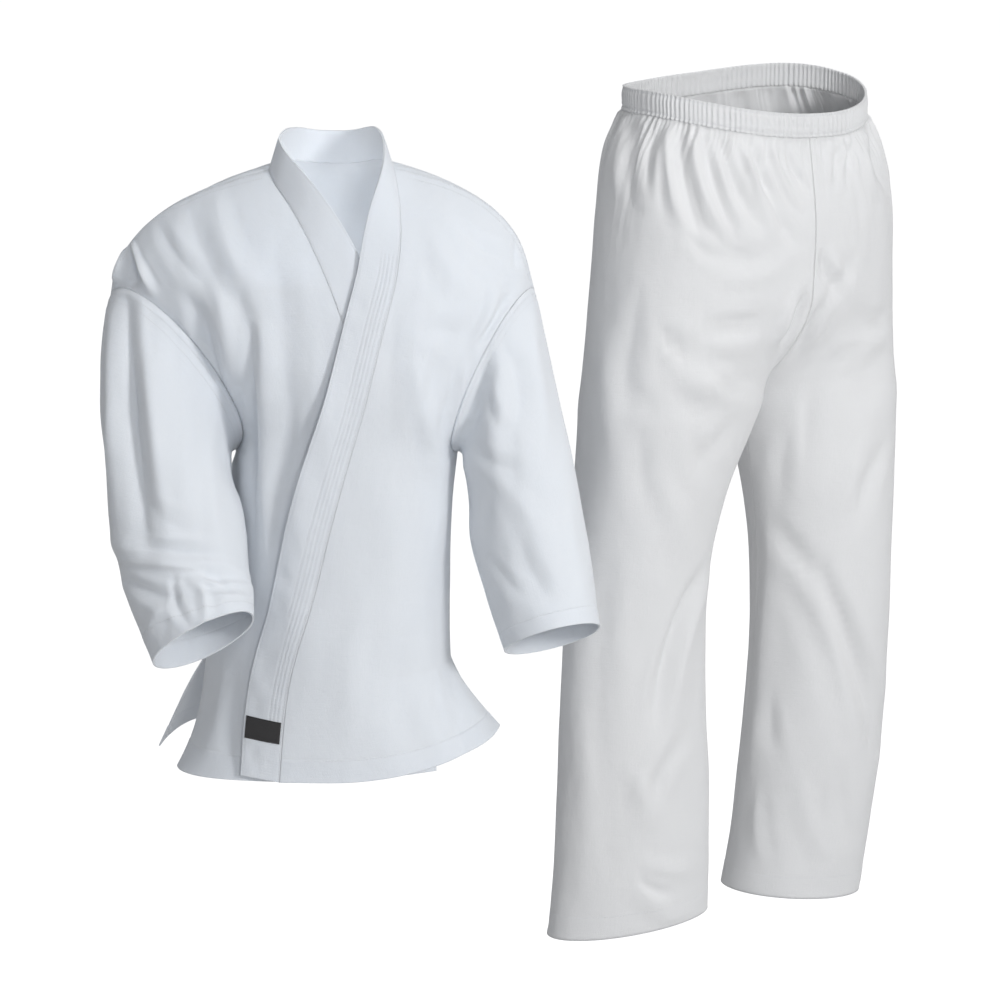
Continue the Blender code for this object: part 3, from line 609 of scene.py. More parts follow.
def turned(turn, sideways, forward):
    """A step in the ground plane, for something that faces turn towards the wearer's left."""
    return vector(
        sideways * np.cos(turn) + forward * np.sin(turn),
        sideways * np.sin(turn) - forward * np.cos(turn),
        0 * sideways,
    )


def hip_ring(angle, z):
    """The ring of the hips. Angle 0 is the wearer's left, and a quarter turn is the front."""
    middle = vector(along(HIP_RING, "x", z), along(HIP_RING, "y", z), z)
    sideways = np.sign(np.cos(angle)) * np.abs(np.cos(angle)) ** SQUARE
    forward = np.sign(np.sin(angle)) * np.abs(np.sin(angle)) ** SQUARE
    flat = turned(TURN, along(HIP_RING, "width", z) * sideways, along(HIP_RING, "depth", z) * forward)
    rise = -WAIST_BACK * np.sin(angle) + WAIST_LEFT * np.cos(angle)
    rise = rise + WAIST_SIDES * np.cos(2 * angle) - WAIST_TWIST * np.sin(2 * angle)
    rise = rise * smooth((z - HIPS) / (BAND_BOTTOM - HIPS))
    return middle + flat + vector(0 * rise, 0 * rise, rise)


def leg_ring(side, angle, z):
    """A leg's ring, from its inseam at angle 0 through the front. Its width is what its edges ask for."""
    rows = LEG[side]
    get = {column: along(rows, column, z) for column in rows}
    turn = np.radians(get["turn"])
    half = (get["right"] - get["left"]) / 2
    width = np.sqrt(half**2 - (get["thick"] * np.sin(turn)) ** 2) / np.cos(turn)
    middle = vector((get["right"] + get["left"]) / 2, get["y"], z)
    flat = turned(turn, -side * width * np.cos(angle), get["thick"] * np.sin(angle))
    tilt = get["tilt"] * np.cos(angle)
    return middle + flat + vector(0 * tilt, 0 * tilt, tilt)


def leg_plain(side, turn, z):
    """A leg and its half of the hips, without folds. turn runs from 0 at the front seam or inseam, through
    the front and the outside, to 1 at the back seam or inseam."""
    turn, z = np.broadcast_arrays(turn, z)
    angle = 2 * math.pi * turn
    below = leg_ring(side, angle, np.minimum(z, CROTCH))
    crotch = np.array([486.0, 204.0, 0.0])
    climb = np.clip((z - CROTCH) / (HIPS - CROTCH), 0, 1)
    share = np.sin(climb * math.pi / 2)[..., None] ** 0.9
    inseam = leg_ring(side, np.zeros_like(z), np.full_like(z, CROTCH))
    pull = smooth((np.minimum(z, CROTCH) + 420) / 135)[..., None] * (0.5 + 0.5 * np.cos(angle))[..., None] ** 2
    below = below + pull * (crotch - inseam) * [1, 1, 0]
    half = math.pi / 2 - side * angle / 2
    above = hip_ring(half, np.maximum(z, CROTCH))
    apart = side * CROTCH_GAP * (1 - share[..., 0]) * (0.5 + 0.5 * np.cos(angle))
    below = below + turned(TURN, apart, 0 * apart)
    mixed = below * (1 - share) + above * share
    mixed[..., 2] = np.where(z > CROTCH, above[..., 2], below[..., 2])
    return mixed


def leg(side, turn, z, lift=0.0):
    """A leg's surface with its folds, moved out by lift."""
    turn, z = np.broadcast_arrays(np.asarray(turn, float), np.asarray(z, float))

    def plain(t, h):
        return leg_plain(side, t, h)

    points = plain(turn, z)
    across = plain(turn + 1e-3, z) - plain(turn - 1e-3, z)
    up = plain(turn, z + 1) - plain(turn, z - 1)
    out = np.cross(across, up) * side
    out[..., 2] *= 1 - smooth((z - BAND_BOTTOM + 14) / 13)
    out = unit(out)
    height = fold_height(points, -out[..., 1], TROUSER_FOLDS)
    for at, width, length, rise in zip(*WAIST_FOLDS.values()):
        fall = smooth(1 - (BAND_BOTTOM - z) / length) * smooth((BAND_BOTTOM - z) / 14 + 0.1)
        height += rise * fall * np.exp(-(((turn - at) / width) ** 2))
    fine = cloth_height(points, -out[..., 1], LEG_CREASES[side], 5 + side) + gathers(turn, z)
    near_inseam = 1 - smooth(np.minimum(turn, 1 - turn) / 0.05)
    fade = (1 - near_inseam * smooth((HIPS - z) / 60)) * smooth((z - LEG[side]["z"][0]) / 12)
    fine = fine * smooth(np.minimum(turn, 1 - turn) / 0.012) * smooth((z - LEG[side]["z"][0]) / 12)
    return points + out * (height * fade + fine + lift)[..., None]


# The finer creases. Each runs from one place to another as seen from the front, bowed sideways by "bend"

BODY_CREASES = table(
    "x0 z0 x1 z1 bend width out sharp side",
    (-73, -171, -72, -480, -8, 12, 3.2, 1.6, 1),
    (-86, -171, -86, -437, 0, 7, -3.5, 1.5, 1),
    (-158, -39, -107, -139, 8, 12, -2.4, 1.7, 1),
    (-130, -23, -86, -127, 6, 11, 1.8, 1.7, 1),
    (-192, -62, -137, -123, 5, 8, -1.8, 1.6, 1),
    (-60, -85, -45, -329, -8, 16, -2.0, 1.8, 1),
    (-32, -271, -52, -521, -6, 13, 1.6, 1.8, 1),
    (112, -74, 167, -140, 6, 12, 2.2, 1.8, 1),
    (140, -59, 195, -101, 5, 8, -2.2, 1.6, 1),
    (101, -170, 162, -189, -6, 13, -1.6, 1.8, 1),
    (77, -137, 69, -339, 6, 14, -1.2, 1.8, 1),
    (101, -271, 121, -535, -6, 16, 1.5, 1.9, 1),
    (135, -341, 128, -493, 4, 9, -1.6, 1.7, 1),
    (33, -474, 21, -654, 5, 15, 1.3, 1.9, 1),
    (72, -522, 99, -668, 8, 15, -1.4, 1.9, 1),
    (126, -556, 178, -632, 6, 8, 2.8, 1.5, 1),
    (110, -584, 139, -641, 5, 10, -1.4, 1.7, 1),
    (-125, -557, -146, -666, -4, 9, 1.8, 1.7, 1),
    (-105, -585, -114, -666, 3, 8, -1.4, 1.7, 1),
    (-223, -84, -197, -133, 1, 3.5, 4.0, 1.4, 1),  # the pinched shoulder over the bent sleeve
    (-232, -88, -246, -136, -1, 3.5, 3.2, 1.4, 1),
    (-222, -100, -222, -142, 0, 8, -6.0, 1.6, 1),
    (-156, -136, -134, -240, -6, 10, -4.0, 1.8, 1),  # the hollow beside that sleeve
    (-126, -126, -104, -250, -6, 14, 5.0, 1.8, 1),
    (170, -188, 199, -138, 3, 8, -5.4, 1.5, 1),  # the fold over the straight sleeve's armpit
    (160, -188, 190, -130, 3, 6, 2.6, 1.5, 1),
    (150, -216, 124, -304, -3, 6, 3.4, 1.5, 1),
    (206, -82, 208, -112, 1, 3, -1.6, 1.5, 1),
    (-150, -60, -60, -210, 12, 13, 2.6, 1.7, -1),  # the back
    (-190, -110, -96, -250, 10, 9, -2.4, 1.6, -1),
    (150, -60, 70, -220, -12, 13, 2.4, 1.7, -1),
    (185, -110, 104, -240, -9, 9, -2.6, 1.6, -1),
    (-40, -60, -20, -250, 8, 14, -1.6, 1.8, -1),
    (44, -90, 24, -330, -7, 15, 1.5, 1.8, -1),
    (-96, -330, -70, -500, 8, 11, 2.4, 1.6, -1),
    (98, -350, 84, -560, -8, 12, 2.6, 1.6, -1),
    (-20, -420, -14, -640, 5, 12, -2.2, 1.7, -1),
    (66, -470, 96, -660, 6, 11, -2.0, 1.7, -1),
    (-100, -540, -130, -670, -5, 9, 2.2, 1.6, -1),
    (24, -560, 34, -675, 3, 10, 1.6, 1.7, -1),
)

SLEEVE_CREASES = {
    -1: table(
        "x0 z0 x1 z1 bend width out sharp side",
        (-228, -144, -201, -407, 3, 11, -10.0, 1.7, 1),
        (-247, -157, -237, -404, 2, 5, 2.0, 1.5, 1),
        (-230, -426, -132, -432, -3, 6, 6.0, 1.4, 1),
        (-216, -408, -131, -420, -4, 7, -5.4, 1.5, 1),
        (-232, -446, -160, -456, 4, 8, -5.0, 1.6, 1),
        (-136, -436, -98, -457, -2, 4, -3.0, 1.4, 1),
        (-140, -450, -102, -463, 2, 4, 2.4, 1.4, 1),
        (-216, -112, -192, -150, 0, 6, -3.0, 1.6, 1),
        (-118, -436, -88, -472, 2, 3.5, 2.0, 1.4, 1),
        (-169, -436, -149, -484, 8, 5, -2.2, 1.5, 1),
        (-150, -441, -133, -481, -7, 5, 2.0, 1.5, 1),
        (-135, -446, -116, -461, 4, 4, -1.8, 1.4, 1),
        (-184, -472, -197, -508, 4, 8, 1.8, 1.6, 1),
        (-190, -175, -175, -323, 8, 12, 1.8, 1.8, 1),
        (-156, -219, -137, -379, -7, 11, -1.4, 1.8, 1),
        (-131, -287, -119, -424, 3, 7, 1.4, 1.7, 1),
        (-197, -355, -153, -388, 6, 9, -1.4, 1.7, 1),
        (-236, -180, -214, -360, 6, 10, -3.0, 1.6, -1),  # the back of the arm
        (-196, -200, -170, -330, -6, 12, 2.4, 1.7, -1),
        (-232, -400, -150, -380, 5, 7, 3.0, 1.5, -1),
        (-228, -430, -140, -416, -5, 7, -3.4, 1.5, -1),
        (-214, -470, -140, -440, 4, 8, 2.2, 1.6, -1),
        (-150, -240, -128, -360, 4, 9, -2.0, 1.7, -1),
    ),
    1: table(
        "x0 z0 x1 z1 bend width out sharp side",
        (195, -191, 212, -274, -6, 9, -2.4, 1.7, 1),
        (226, -144, 240, -276, 6, 9, 2.0, 1.8, 1),
        (174, -231, 190, -285, 3, 6, -2.4, 1.6, 1),
        (235, -178, 259, -333, -5, 8, -1.5, 1.8, 1),
        (156, -302, 212, -329, 6, 8, -1.6, 1.7, 1),
        (190, -341, 240, -428, -8, 11, 1.5, 1.8, 1),
        (212, -406, 256, -482, 6, 10, -1.2, 1.8, 1),
        (181, -432, 223, -471, 4, 7, -1.3, 1.7, 1),
        (268, -366, 285, -475, 3, 8, 1.2, 1.8, 1),
        (174, -206, 151, -306, 2, 11, -7.5, 1.6, 1),  # in shade under the armpit's fold
        (196, -250, 186, -360, 4, 9, 2.0, 1.8, 1),
        (224, -190, 200, -330, 6, 10, -2.6, 1.6, -1),
        (250, -220, 236, -380, -6, 11, 2.2, 1.7, -1),
        (270, -330, 190, -400, 6, 9, -2.6, 1.6, -1),
        (276, -400, 200, -450, -6, 9, 2.4, 1.6, -1),
        (190, -240, 172, -350, 4, 8, 2.0, 1.7, -1),
    ),
}

LEG_CREASES = {
    -1: table(
        "x0 z0 x1 z1 bend width out sharp side",
        (426, -185, 498, -179, 5, 9, -5.0, 1.6, 1),
        (420, -206, 493, -205, 4, 8, 3.8, 1.6, 1),
        (374, -193, 408, -214, 3, 6, -3.8, 1.5, 1),
        (383, -176, 420, -188, 3, 9, 1.6, 1.7, 1),
        (435, -269, 482, -246, -3, 6, -4.6, 1.5, 1),
        (444, -254, 484, -232, -3, 8, 2.0, 1.7, 1),
        (433, -476, 374, -656, 10, 8, -5.0, 1.6, 1),
        (448, -478, 394, -650, 10, 10, 2.6, 1.8, 1),
        (411, -679, 363, -755, 5, 9, -3.2, 1.7, 1),
        (343, -717, 368, -787, -8, 12, 2.8, 1.8, 1),
        (356, -847, 391, -871, 3, 5, -2.6, 1.5, 1),
        (356, -823, 418, -847, 4, 9, 1.6, 1.7, 1),
        (370, -364, 413, -465, -8, 13, 1.8, 1.8, 1),
        (352, -304, 370, -412, 5, 12, -1.6, 1.8, 1),
        (306, -192, 320, -413, -6, 13, 1.6, 1.9, 1),
        (350, -154, 334, -293, 5, 11, -1.8, 1.8, 1),
        (318, -460, 308, -698, 5, 14, -1.6, 1.9, 1),
        (284, -629, 291, -846, -4, 13, 1.4, 1.9, 1),
        (410, -294, 442, -370, 6, 9, -1.6, 1.7, 1),
        (418, -62, 490, -113, 6, 9, -2.0, 1.7, 1),
        (368, 35, 358, -30, 4, 6, -3.2, 1.6, 1),
        (382, 34, 391, -60, 4, 5, 3.4, 1.5, 1),
        (396, 34, 418, -78, 5, 6, -4.4, 1.5, 1),
        (410, 30, 436, -64, 5, 5, 3.8, 1.5, 1),
        (424, 28, 462, -84, 5, 5, -3.4, 1.5, 1),
        (442, 26, 489, -70, 5, 6, -4.0, 1.5, 1),
        (465, 24, 516, -66, 5, 5, 3.4, 1.5, 1),
        (478, 24, 532, -92, 6, 6, -4.0, 1.5, 1),
        (500, 22, 538, -52, 4, 4, 3.2, 1.5, 1),
        (520, 20, 550, -36, 3, 4, -3.4, 1.5, 1),
        (351, 36, 339, -52, 4, 7, -3.4, 1.6, 1),
        (336, 36, 322, -30, 3, 5, 2.6, 1.6, 1),
        (407, -84, 466, -111, 5, 8, -2.2, 1.7, 1),
        (442, -131, 527, -115, 6, 10, 2.0, 1.8, 1),
        (506, -220, 538, -166, -2, 6, 3.4, 1.6, 1),
        (520, -216, 553, -156, -1, 6, -8.0, 1.5, 1),
        (310, -150, 420, -230, 10, 12, 2.8, 1.7, -1),  # the seat and the back of the leg
        (300, -230, 410, -270, 8, 10, -2.8, 1.6, -1),
        (290, -470, 400, -540, 8, 11, 2.6, 1.6, -1),
        (300, -520, 420, -560, -6, 9, -2.6, 1.6, -1),
        (290, -640, 390, -700, 6, 10, 2.0, 1.7, -1),
        (330, -740, 350, -880, 8, 13, -2.0, 1.8, -1),
        (400, -700, 384, -860, -6, 12, 1.8, 1.8, -1),
        (330, 20, 338, -90, 4, 8, -2.6, 1.7, -1),
        (380, 40, 392, -60, 4, 8, 2.4, 1.7, -1),
    ),
    1: table(
        "x0 z0 x1 z1 bend width out sharp side",
        (565, -110, 595, -157, 5, 7, -4.6, 1.6, 1),
        (580, -105, 617, -169, 4, 7, 2.2, 1.7, 1),
        (574, -164, 546, -229, 6, 6, -2.4, 1.6, 1),
        (569, -201, 536, -255, 5, 5, 1.8, 1.6, 1),
        (624, -201, 658, -194, 4, 6, -4.2, 1.6, 1),
        (586, -222, 657, -222, -5, 9, 4.0, 1.7, 1),
        (597, -256, 659, -239, 4, 7, -2.2, 1.6, 1),
        (660, -345, 623, -437, 5, 9, -3.6, 1.7, 1),
        (637, -329, 602, -411, 5, 9, 1.6, 1.8, 1),
        (517, -432, 584, -503, 10, 12, -3.0, 1.8, 1),
        (579, -499, 659, -722, -6, 11, -5.4, 1.6, 1),
        (524, -462, 635, -704, -10, 12, 3.0, 1.8, 1),
        (630, -692, 663, -730, 2, 4, -2.8, 1.5, 1),
        (523, -662, 528, -727, 4, 8, -1.8, 1.7, 1),
        (508, -778, 511, -866, 3, 7, 1.6, 1.7, 1),
        (558, -761, 598, -867, 6, 12, 1.4, 1.8, 1),
        (608, -750, 624, -844, 4, 9, -1.4, 1.8, 1),
        (549, -289, 562, -385, 6, 12, 1.0, 1.8, 1),
        (538, -325, 528, -412, 4, 9, -1.6, 1.8, 1),
        (607, 24, 600, -36, 3, 5, -3.2, 1.6, 1),
        (628, 32, 650, -40, 3, 5, -4.2, 1.5, 1),
        (616, 29, 636, -44, 3, 5, 3.0, 1.5, 1),
        (590, 20, 586, -30, 2, 4, -2.6, 1.5, 1),
        (576, 18, 578, -20, 2, 4, 2.2, 1.5, 1),
        (572, -176, 536, -250, 2, 6, -4.0, 1.5, 1),
        (567, -176, 604, -119, 4, 7, -2.8, 1.6, 1),
        (563, -265, 557, -373, 4, 10, -1.4, 1.8, 1),
        (560, -160, 650, -240, 8, 12, 2.6, 1.7, -1),
        (550, -240, 660, -270, -7, 10, -2.8, 1.6, -1),
        (540, -480, 660, -540, 8, 11, 2.4, 1.6, -1),
        (530, -540, 650, -570, -6, 9, -2.4, 1.6, -1),
        (560, -660, 640, -760, 6, 12, 2.0, 1.7, -1),
        (520, -700, 530, -860, 6, 12, -1.8, 1.8, -1),
        (560, 30, 572, -80, 4, 8, -2.6, 1.7, -1),
        (620, 20, 632, -90, 4, 8, 2.4, 1.7, -1),
    ),
}

GATHER_FOLDS = 61  # small folds that fall from the band into each half of the trousers


def ripple(points, size, seed):
    """Soft unevenness of about -1 to 1, longer up and down than across, as slack cotton has."""
    made = np.random.default_rng(seed)
    total = 0.0
    for _ in range(9):
        way = made.normal(size=3)
        way *= (1.0, 1.0, 0.42) / np.linalg.norm(way)
        total = total + np.sin(points @ way * made.uniform(0.7, 1.6) * 2 * math.pi / size + made.uniform(0, 6.3))
    return total / 4.5


def cloth_height(points, facing, creases, seed):
    """How far the finer creases and the cloth's own unevenness move each point out."""
    height = 1.1 * ripple(points, 170, seed) + 0.6 * ripple(points, 60, seed + 20)
    height = height + 0.16 * ripple(points, 22, seed + 40)
    for x0, z0, x1, z1, bend, width, out, sharp, side in zip(*creases.values()):
        run = np.array([x1 - x0, z1 - z0])
        length = np.hypot(*run)
        place = points[..., [0, 2]] - np.array([x0, z0])
        t = (place @ run) / length**2
        held = np.clip(t, 0, 1)
        aside = (place[..., 0] * run[1] - place[..., 1] * run[0]) / length - 4 * bend * held * (1 - held)
        thin = width * (0.7 + 0.5 * held)
        off = np.hypot(aside, (t - held) * length) / thin
        fade = np.sin(math.pi * np.clip(0.05 + 0.9 * held, 0, 1)) ** 0.8
        shape = np.exp(-(off**sharp)) - 0.28 * np.exp(-(((off - 2.1) / 0.8) ** 2))
        height = height + CREASE * out * fade * shape * smooth(0.2 + 1.6 * side * facing)
    return height


def gathers(turn, z):
    """Small folds under the waistband, uneven in spacing, depth and length."""
    drop = np.clip(BAND_BOTTOM - z, 0, None)
    lean = turn + 0.00012 * drop * np.sin(7 * turn * math.pi + 1)
    phase = 2 * math.pi * (lean * GATHER_FOLDS + 1.1 * np.sin(9.1 * lean * math.pi + 1) + 0.9 * np.sin(23 * lean))
    reach = 26 + 15 * np.sin(31 * turn + 0.4) + 13 * np.sin(13.7 * turn * math.pi)
    deep = 1.5 + 0.8 * np.sin(17 * turn * math.pi + 2) + 0.5 * np.sin(41 * turn * math.pi)
    small = deep * np.cos(phase) * np.exp(-((drop / np.maximum(reach, 8)) ** 1.4))
    wide = 2 * math.pi * (lean * 17 + 0.6 * np.sin(11 * lean * math.pi + 2))
    long = (1.5 + 0.9 * np.sin(19 * turn + 1)) * np.cos(wide) * np.exp(-((drop / (58 + 30 * np.sin(15 * turn))) ** 1.6))
    return (small + long) * smooth(drop / 3 + 0.35)


# Making the pieces


def flat_places(points):
    """Where each point of a grid of cloth lies when the cloth is flat, in metres, for its weave."""
    u = np.concatenate(
        [0 * points[:, :1, 0], np.cumsum(np.linalg.norm(np.diff(points, axis=1), axis=-1), axis=1)], axis=1
    )
    v = np.concatenate(
        [0 * points[:1, :, 0], np.cumsum(np.linalg.norm(np.diff(points, axis=0), axis=-1), axis=0)], axis=0
    )
    middle = points.shape[1] // 2
    return np.stack([u - u[:, middle : middle + 1], np.repeat(v.mean(axis=1)[:, None], u.shape[1], 1)], -1) * MM


def cloth_object(name, outer, inner, material, closed=False):
    """A thin sheet of cloth between two grids of points, with a rim round every open edge."""
    rows, columns = outer.shape[:2]
    wide = np.concatenate([outer, outer[:, :1]], axis=1) if closed else outer
    uv = flat_places(wide)
    index = np.arange(rows * columns).reshape(rows, columns)
    if closed:
        index = np.concatenate([index, index[:, :1]], axis=1)
    place = np.arange(uv.shape[0] * uv.shape[1]).reshape(uv.shape[:2])
    under = rows * columns

    def quads(grid):
        return [grid[:-1, :-1], grid[:-1, 1:], grid[1:, 1:], grid[1:, :-1]]

    def rim(a, b, step):
        return [a, b, b + step, a + step]

    sets, maps = [], []
    for grid, store, step in ((index, sets, under), (place, maps, 0)):
        a, b, c, d = quads(grid)
        store.append(np.stack([a, b, c, d], -1).reshape(-1, 4))
        store.append(np.stack([a, d, c, b], -1).reshape(-1, 4) + step)
        store.append(np.stack(rim(grid[0, 1:], grid[0, :-1], step), -1))
        store.append(np.stack(rim(grid[-1, :-1], grid[-1, 1:], step), -1))
        if not closed:
            store.append(np.stack(rim(grid[:-1, 0], grid[1:, 0], step), -1))
            store.append(np.stack(rim(grid[1:, -1], grid[:-1, -1], step), -1))
    faces = np.concatenate(sets)
    rims = sum(len(s) for s in sets[:2])
    points = np.concatenate([outer.reshape(-1, 3), inner.reshape(-1, 3)]) * MM
    mesh = bpy.data.meshes.new(name)
    mesh.from_pydata(points.tolist(), [], faces.tolist())
    layer = mesh.uv_layers.new(name="weave")
    layer.data.foreach_set("uv", uv.reshape(-1, 2)[np.concatenate(maps).ravel()].ravel())
    mesh.polygons.foreach_set("use_smooth", np.arange(len(faces)) < rims)
    mesh.update()
    mesh.materials.append(material)
    piece = bpy.data.objects.new(name, mesh)
    bpy.context.scene.collection.objects.link(piece)
    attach(piece, "root")
    return piece


def spread(start, end, count):
    return np.linspace(start, end, count)


def crowded(count, places, pull=3.0, width=0.02):
    """Stations from 0 to 1, closer together round the given places."""
    fine = spread(0, 1, 4001)
    weight = 1 + sum(pull * np.exp(-(((fine - p) / width) ** 2)) for p in places)
    total = np.concatenate([[0], np.cumsum((weight[1:] + weight[:-1]) / 2)])
    return np.interp(spread(0, total[-1], count), total, fine)


def hem_step(drop, width=26.0):
    """A turned hem: thicker up to its line of stitches, with a shallow dip at that line."""
    return HEM * smooth((width - drop) / 1.5) - 0.2 * np.exp(-(((drop - width) / 1.6) ** 2))


def body_rows(count):
    return crowded(count, (0.0, 0.038, 1.0), 3.0, 0.012)


def body_wall(across, level):
    """Half the wall of the jacket's body: more where its hem is turned."""
    height = np.minimum(level, 2 - level)
    return CLOTH / 2 + hem_step(height * 640)


def make_back(material):
    right, left = neck_points()
    edge = 1 - SEAM / 180
    across = np.concatenate(
        [
            spread(-edge, right - SEAM / 180, 62),
            spread(right, left, 34)[1:-1],
            spread(left + SEAM / 180, edge, 62),
        ]
    )
    rows = np.maximum(2 - body_rows(220)[:, None], 1 + SEAM / 700)
    level = rows + (neckline(across) - 1) * smooth((1.4 - rows) / 0.4)
    across = np.broadcast_to(across, level.shape)[:, ::-1]
    level = level[:, ::-1]
    wall = body_wall(across, level)
    return cloth_object("back_panel", body(across, level, wall), body(across, level, -wall), material)


def make_front(name, seam, side, lift, material):
    level = np.minimum(body_rows(230), 1 - SEAM / 700)
    inner = lapel_seam(seam, level) + side * SEAM / 180
    outer = side * (1 - SEAM / 180)
    across = inner[:, None] + (outer - inner[:, None]) * crowded(100, (0.0, 1.0), 1.5, 0.03)
    level = np.broadcast_to(level[:, None], across.shape)
    if side < 0:
        across = across[:, ::-1]
    lying = outer_lift(across, level) * lift
    lying = lying + lift * (BAND - CLOTH) / 2 * smooth(1 - (across - inner[:, None]) / 0.10)
    wall = body_wall(across, level)
    return cloth_object(name, body(across, level, lying + wall), body(across, level, lying - wall), material)


STITCH_ROWS = (0.07, 0.17, 0.27, 0.37, 0.47)  # across the lapel, from its seam
ROWS_FROM, ROWS_TO, ROWS_END = -85.0, -495.0, -625.0


def lapel_grid(count, wide):
    """The lapel and collar's middle surface, from the outer hem, round the neck, to the inner hem."""
    width = spread(0, 1, wide)
    gap = SEAM / LAPEL_WIDTH
    stand = (CLOTH / 2 + 4 * SEAM) / LAPEL_WIDTH
    level = body_rows(count)[:, None]
    base = gap + (stand - gap) * smooth((level - 0.86) / 0.10)
    band = base + (1 - base) * width
    outer = lapel_front(OUTER_SEAM, 1, level, band, 1.0)
    inner = lapel_front(INNER_SEAM, -1, level, band, 0.0)
    right, left = neck_points()
    across = spread(left, right, 62)[1:-1]
    behind = lapel_back(across[:, None], stand + (1 - stand) * width)
    return np.concatenate([outer, behind, inner[::-1]]), len(outer), len(outer) + len(behind)


def grid_normals(points, closed=False):
    if closed:
        across = np.roll(points, -1, axis=1) - np.roll(points, 1, axis=1)
    else:
        across = np.gradient(points, axis=1)
    return unit(np.cross(across, np.gradient(points, axis=0)))


def lapel_relief(points, outer_rows):
    """Grooves along the rows of stitches, and the puckers between the edge and the stitches."""
    width = spread(0, 1, points.shape[1])[None, :]
    z = points[..., 2]
    run = np.concatenate([[0], np.cumsum(np.linalg.norm(np.diff(points[:, 0], axis=0), axis=-1))])[:, None]
    front = (np.arange(len(points)) < outer_rows)[:, None]
    rows = front * smooth((ROWS_FROM - z) / 20) * smooth((z - ROWS_END) / 8)
    height = np.zeros(z.shape)
    for place in STITCH_ROWS:
        short = smooth((z - ROWS_TO) / 10) if place == STITCH_ROWS[-1] else 1.0
        height -= 0.42 * rows * short * np.exp(-(((width - place) / 0.022) ** 2))
    for place in (0.035, 0.955):
        height -= 0.30 * np.exp(-(((width - place) / 0.022) ** 2))
    pucker = np.sin(run / 7.5 + 1.3 * np.sin(run / 41.0) + 0.8 * np.sin(run / 17.0))
    low = smooth((-330 - z) / 140)
    height += front * (0.25 + 0.55 * low) * pucker * np.exp(-(((width - 0.74) / 0.16) ** 2))
    height += 0.16 * np.sin(run / 3.1 + 2.1 * np.sin(run / 23.0)) * np.exp(-(((width - 0.27) / 0.2) ** 2)) * rows
    height += (1 - front) * 0.22 * pucker * np.sin(math.pi * width)
    return height


def make_lapel(material):
    points, outer_rows, _ = lapel_grid(215, 45)
    out = -grid_normals(points)
    relief = lapel_relief(points, outer_rows)
    step = out * (BAND / 2 + relief)[..., None]
    back = out * (BAND / 2 + 0.6 * relief)[..., None]
    return cloth_object("lapel_band", points - back, points + step, material)


def make_label(material):
    """The bare woven label, with a slightly raised turned edge."""
    points, outer_rows, _ = lapel_grid(215, 45)
    points = points[:60]
    out = -grid_normals(points)
    height = points[..., 2].mean(axis=1)
    row = np.interp(spread(*LABEL_HEIGHTS, 22), height, np.arange(len(height)))[:, None]
    column = 44 * spread(*LABEL_REACH, 36)
    r, c = np.broadcast_arrays(row, column)
    edge = np.minimum(
        np.minimum(spread(0, 24.5, 22), spread(24.5, 0, 22))[:, None],
        np.minimum(spread(0, 38, 36), spread(38, 0, 36)),
    )
    rise = BAND / 2 + LABEL_CLEARANCE
    top = LABEL - 0.25 * smooth((1.2 - edge) / 1.2) - 0.18 * smooth((edge - 2.4) / 0.8)
    inner = between(points + out * rise, r, c)
    outer = inner + between(out, r, c) * top[..., None]
    return cloth_object("blank_label", outer[:, ::-1], inner[:, ::-1], material)


def between(grid, row, column):
    """Places in a grid of points, at fractions of its rows and columns."""
    r = np.clip(np.floor(row).astype(int), 0, grid.shape[0] - 2)
    c = np.clip(np.floor(column).astype(int), 0, grid.shape[1] - 2)
    up, along_row = (row - r)[..., None], (column - c)[..., None]
    low = grid[r, c] * (1 - along_row) + grid[r, c + 1] * along_row
    high = grid[r + 1, c] * (1 - along_row) + grid[r + 1, c + 1] * along_row
    return low * (1 - up) + high * up


def sleeve_wall(place):
    length = 395.0
    return CLOTH / 2 + hem_step((1 - place) * length, 25.0)


def make_sleeve(name, side, material):
    angle = spread(0, 2 * math.pi, 161)[:-1]
    speed = np.linalg.norm(sleeve(side, angle, 0.01) - sleeve(side, angle, 0.0), axis=-1) / 0.01
    clear = np.interp(angle, spread(0, 2 * math.pi, 5), SLEEVE_CLEAR[side])
    place = crowded(135, (0.0, 0.937, 1.0), 2.5, 0.014)[:, None] * np.ones_like(angle)
    start = (clear / speed)[None, :]
    place = start + (1 - start) * place
    angle = np.broadcast_to(angle, place.shape)
    if side < 0:
        angle, place = angle[:, ::-1], place[:, ::-1]
    wall = sleeve_wall(place)
    outer, inner = sleeve(side, angle, place, wall), sleeve(side, angle, place, -wall)
    return cloth_object(name, outer, inner, material, closed=True)


# How far each sleeve's edge stands off its armhole, at each quarter turn from the top through the front
SLEEVE_CLEAR = {-1: (0.3, 1.2, 2.6, 0.9, 0.3), 1: (0.3, 0.6, 1.6, 0.6, 0.3)}


def make_leg(name, side, material):
    turn = crowded(224, (0.0, 1.0), 1.0, 0.01)
    turn = SEAM / 560 + (1 - 2 * SEAM / 560) * turn
    low, high = LEG[side]["z"][0], BAND_BOTTOM - 2 * SEAM
    rows = crowded(140, (0.027, 0.97, 0.88), 3.0, 0.05)
    z = (low + (high - low) * rows)[:, None]
    wall = CLOTH / 2 + hem_step(z - low, 27.0)
    outer, inner = leg(side, turn[None, ::side], z, wall), leg(side, turn[None, ::side], z, -wall)
    return cloth_object(name, outer, inner, material)


BAND_FOLDS = 132


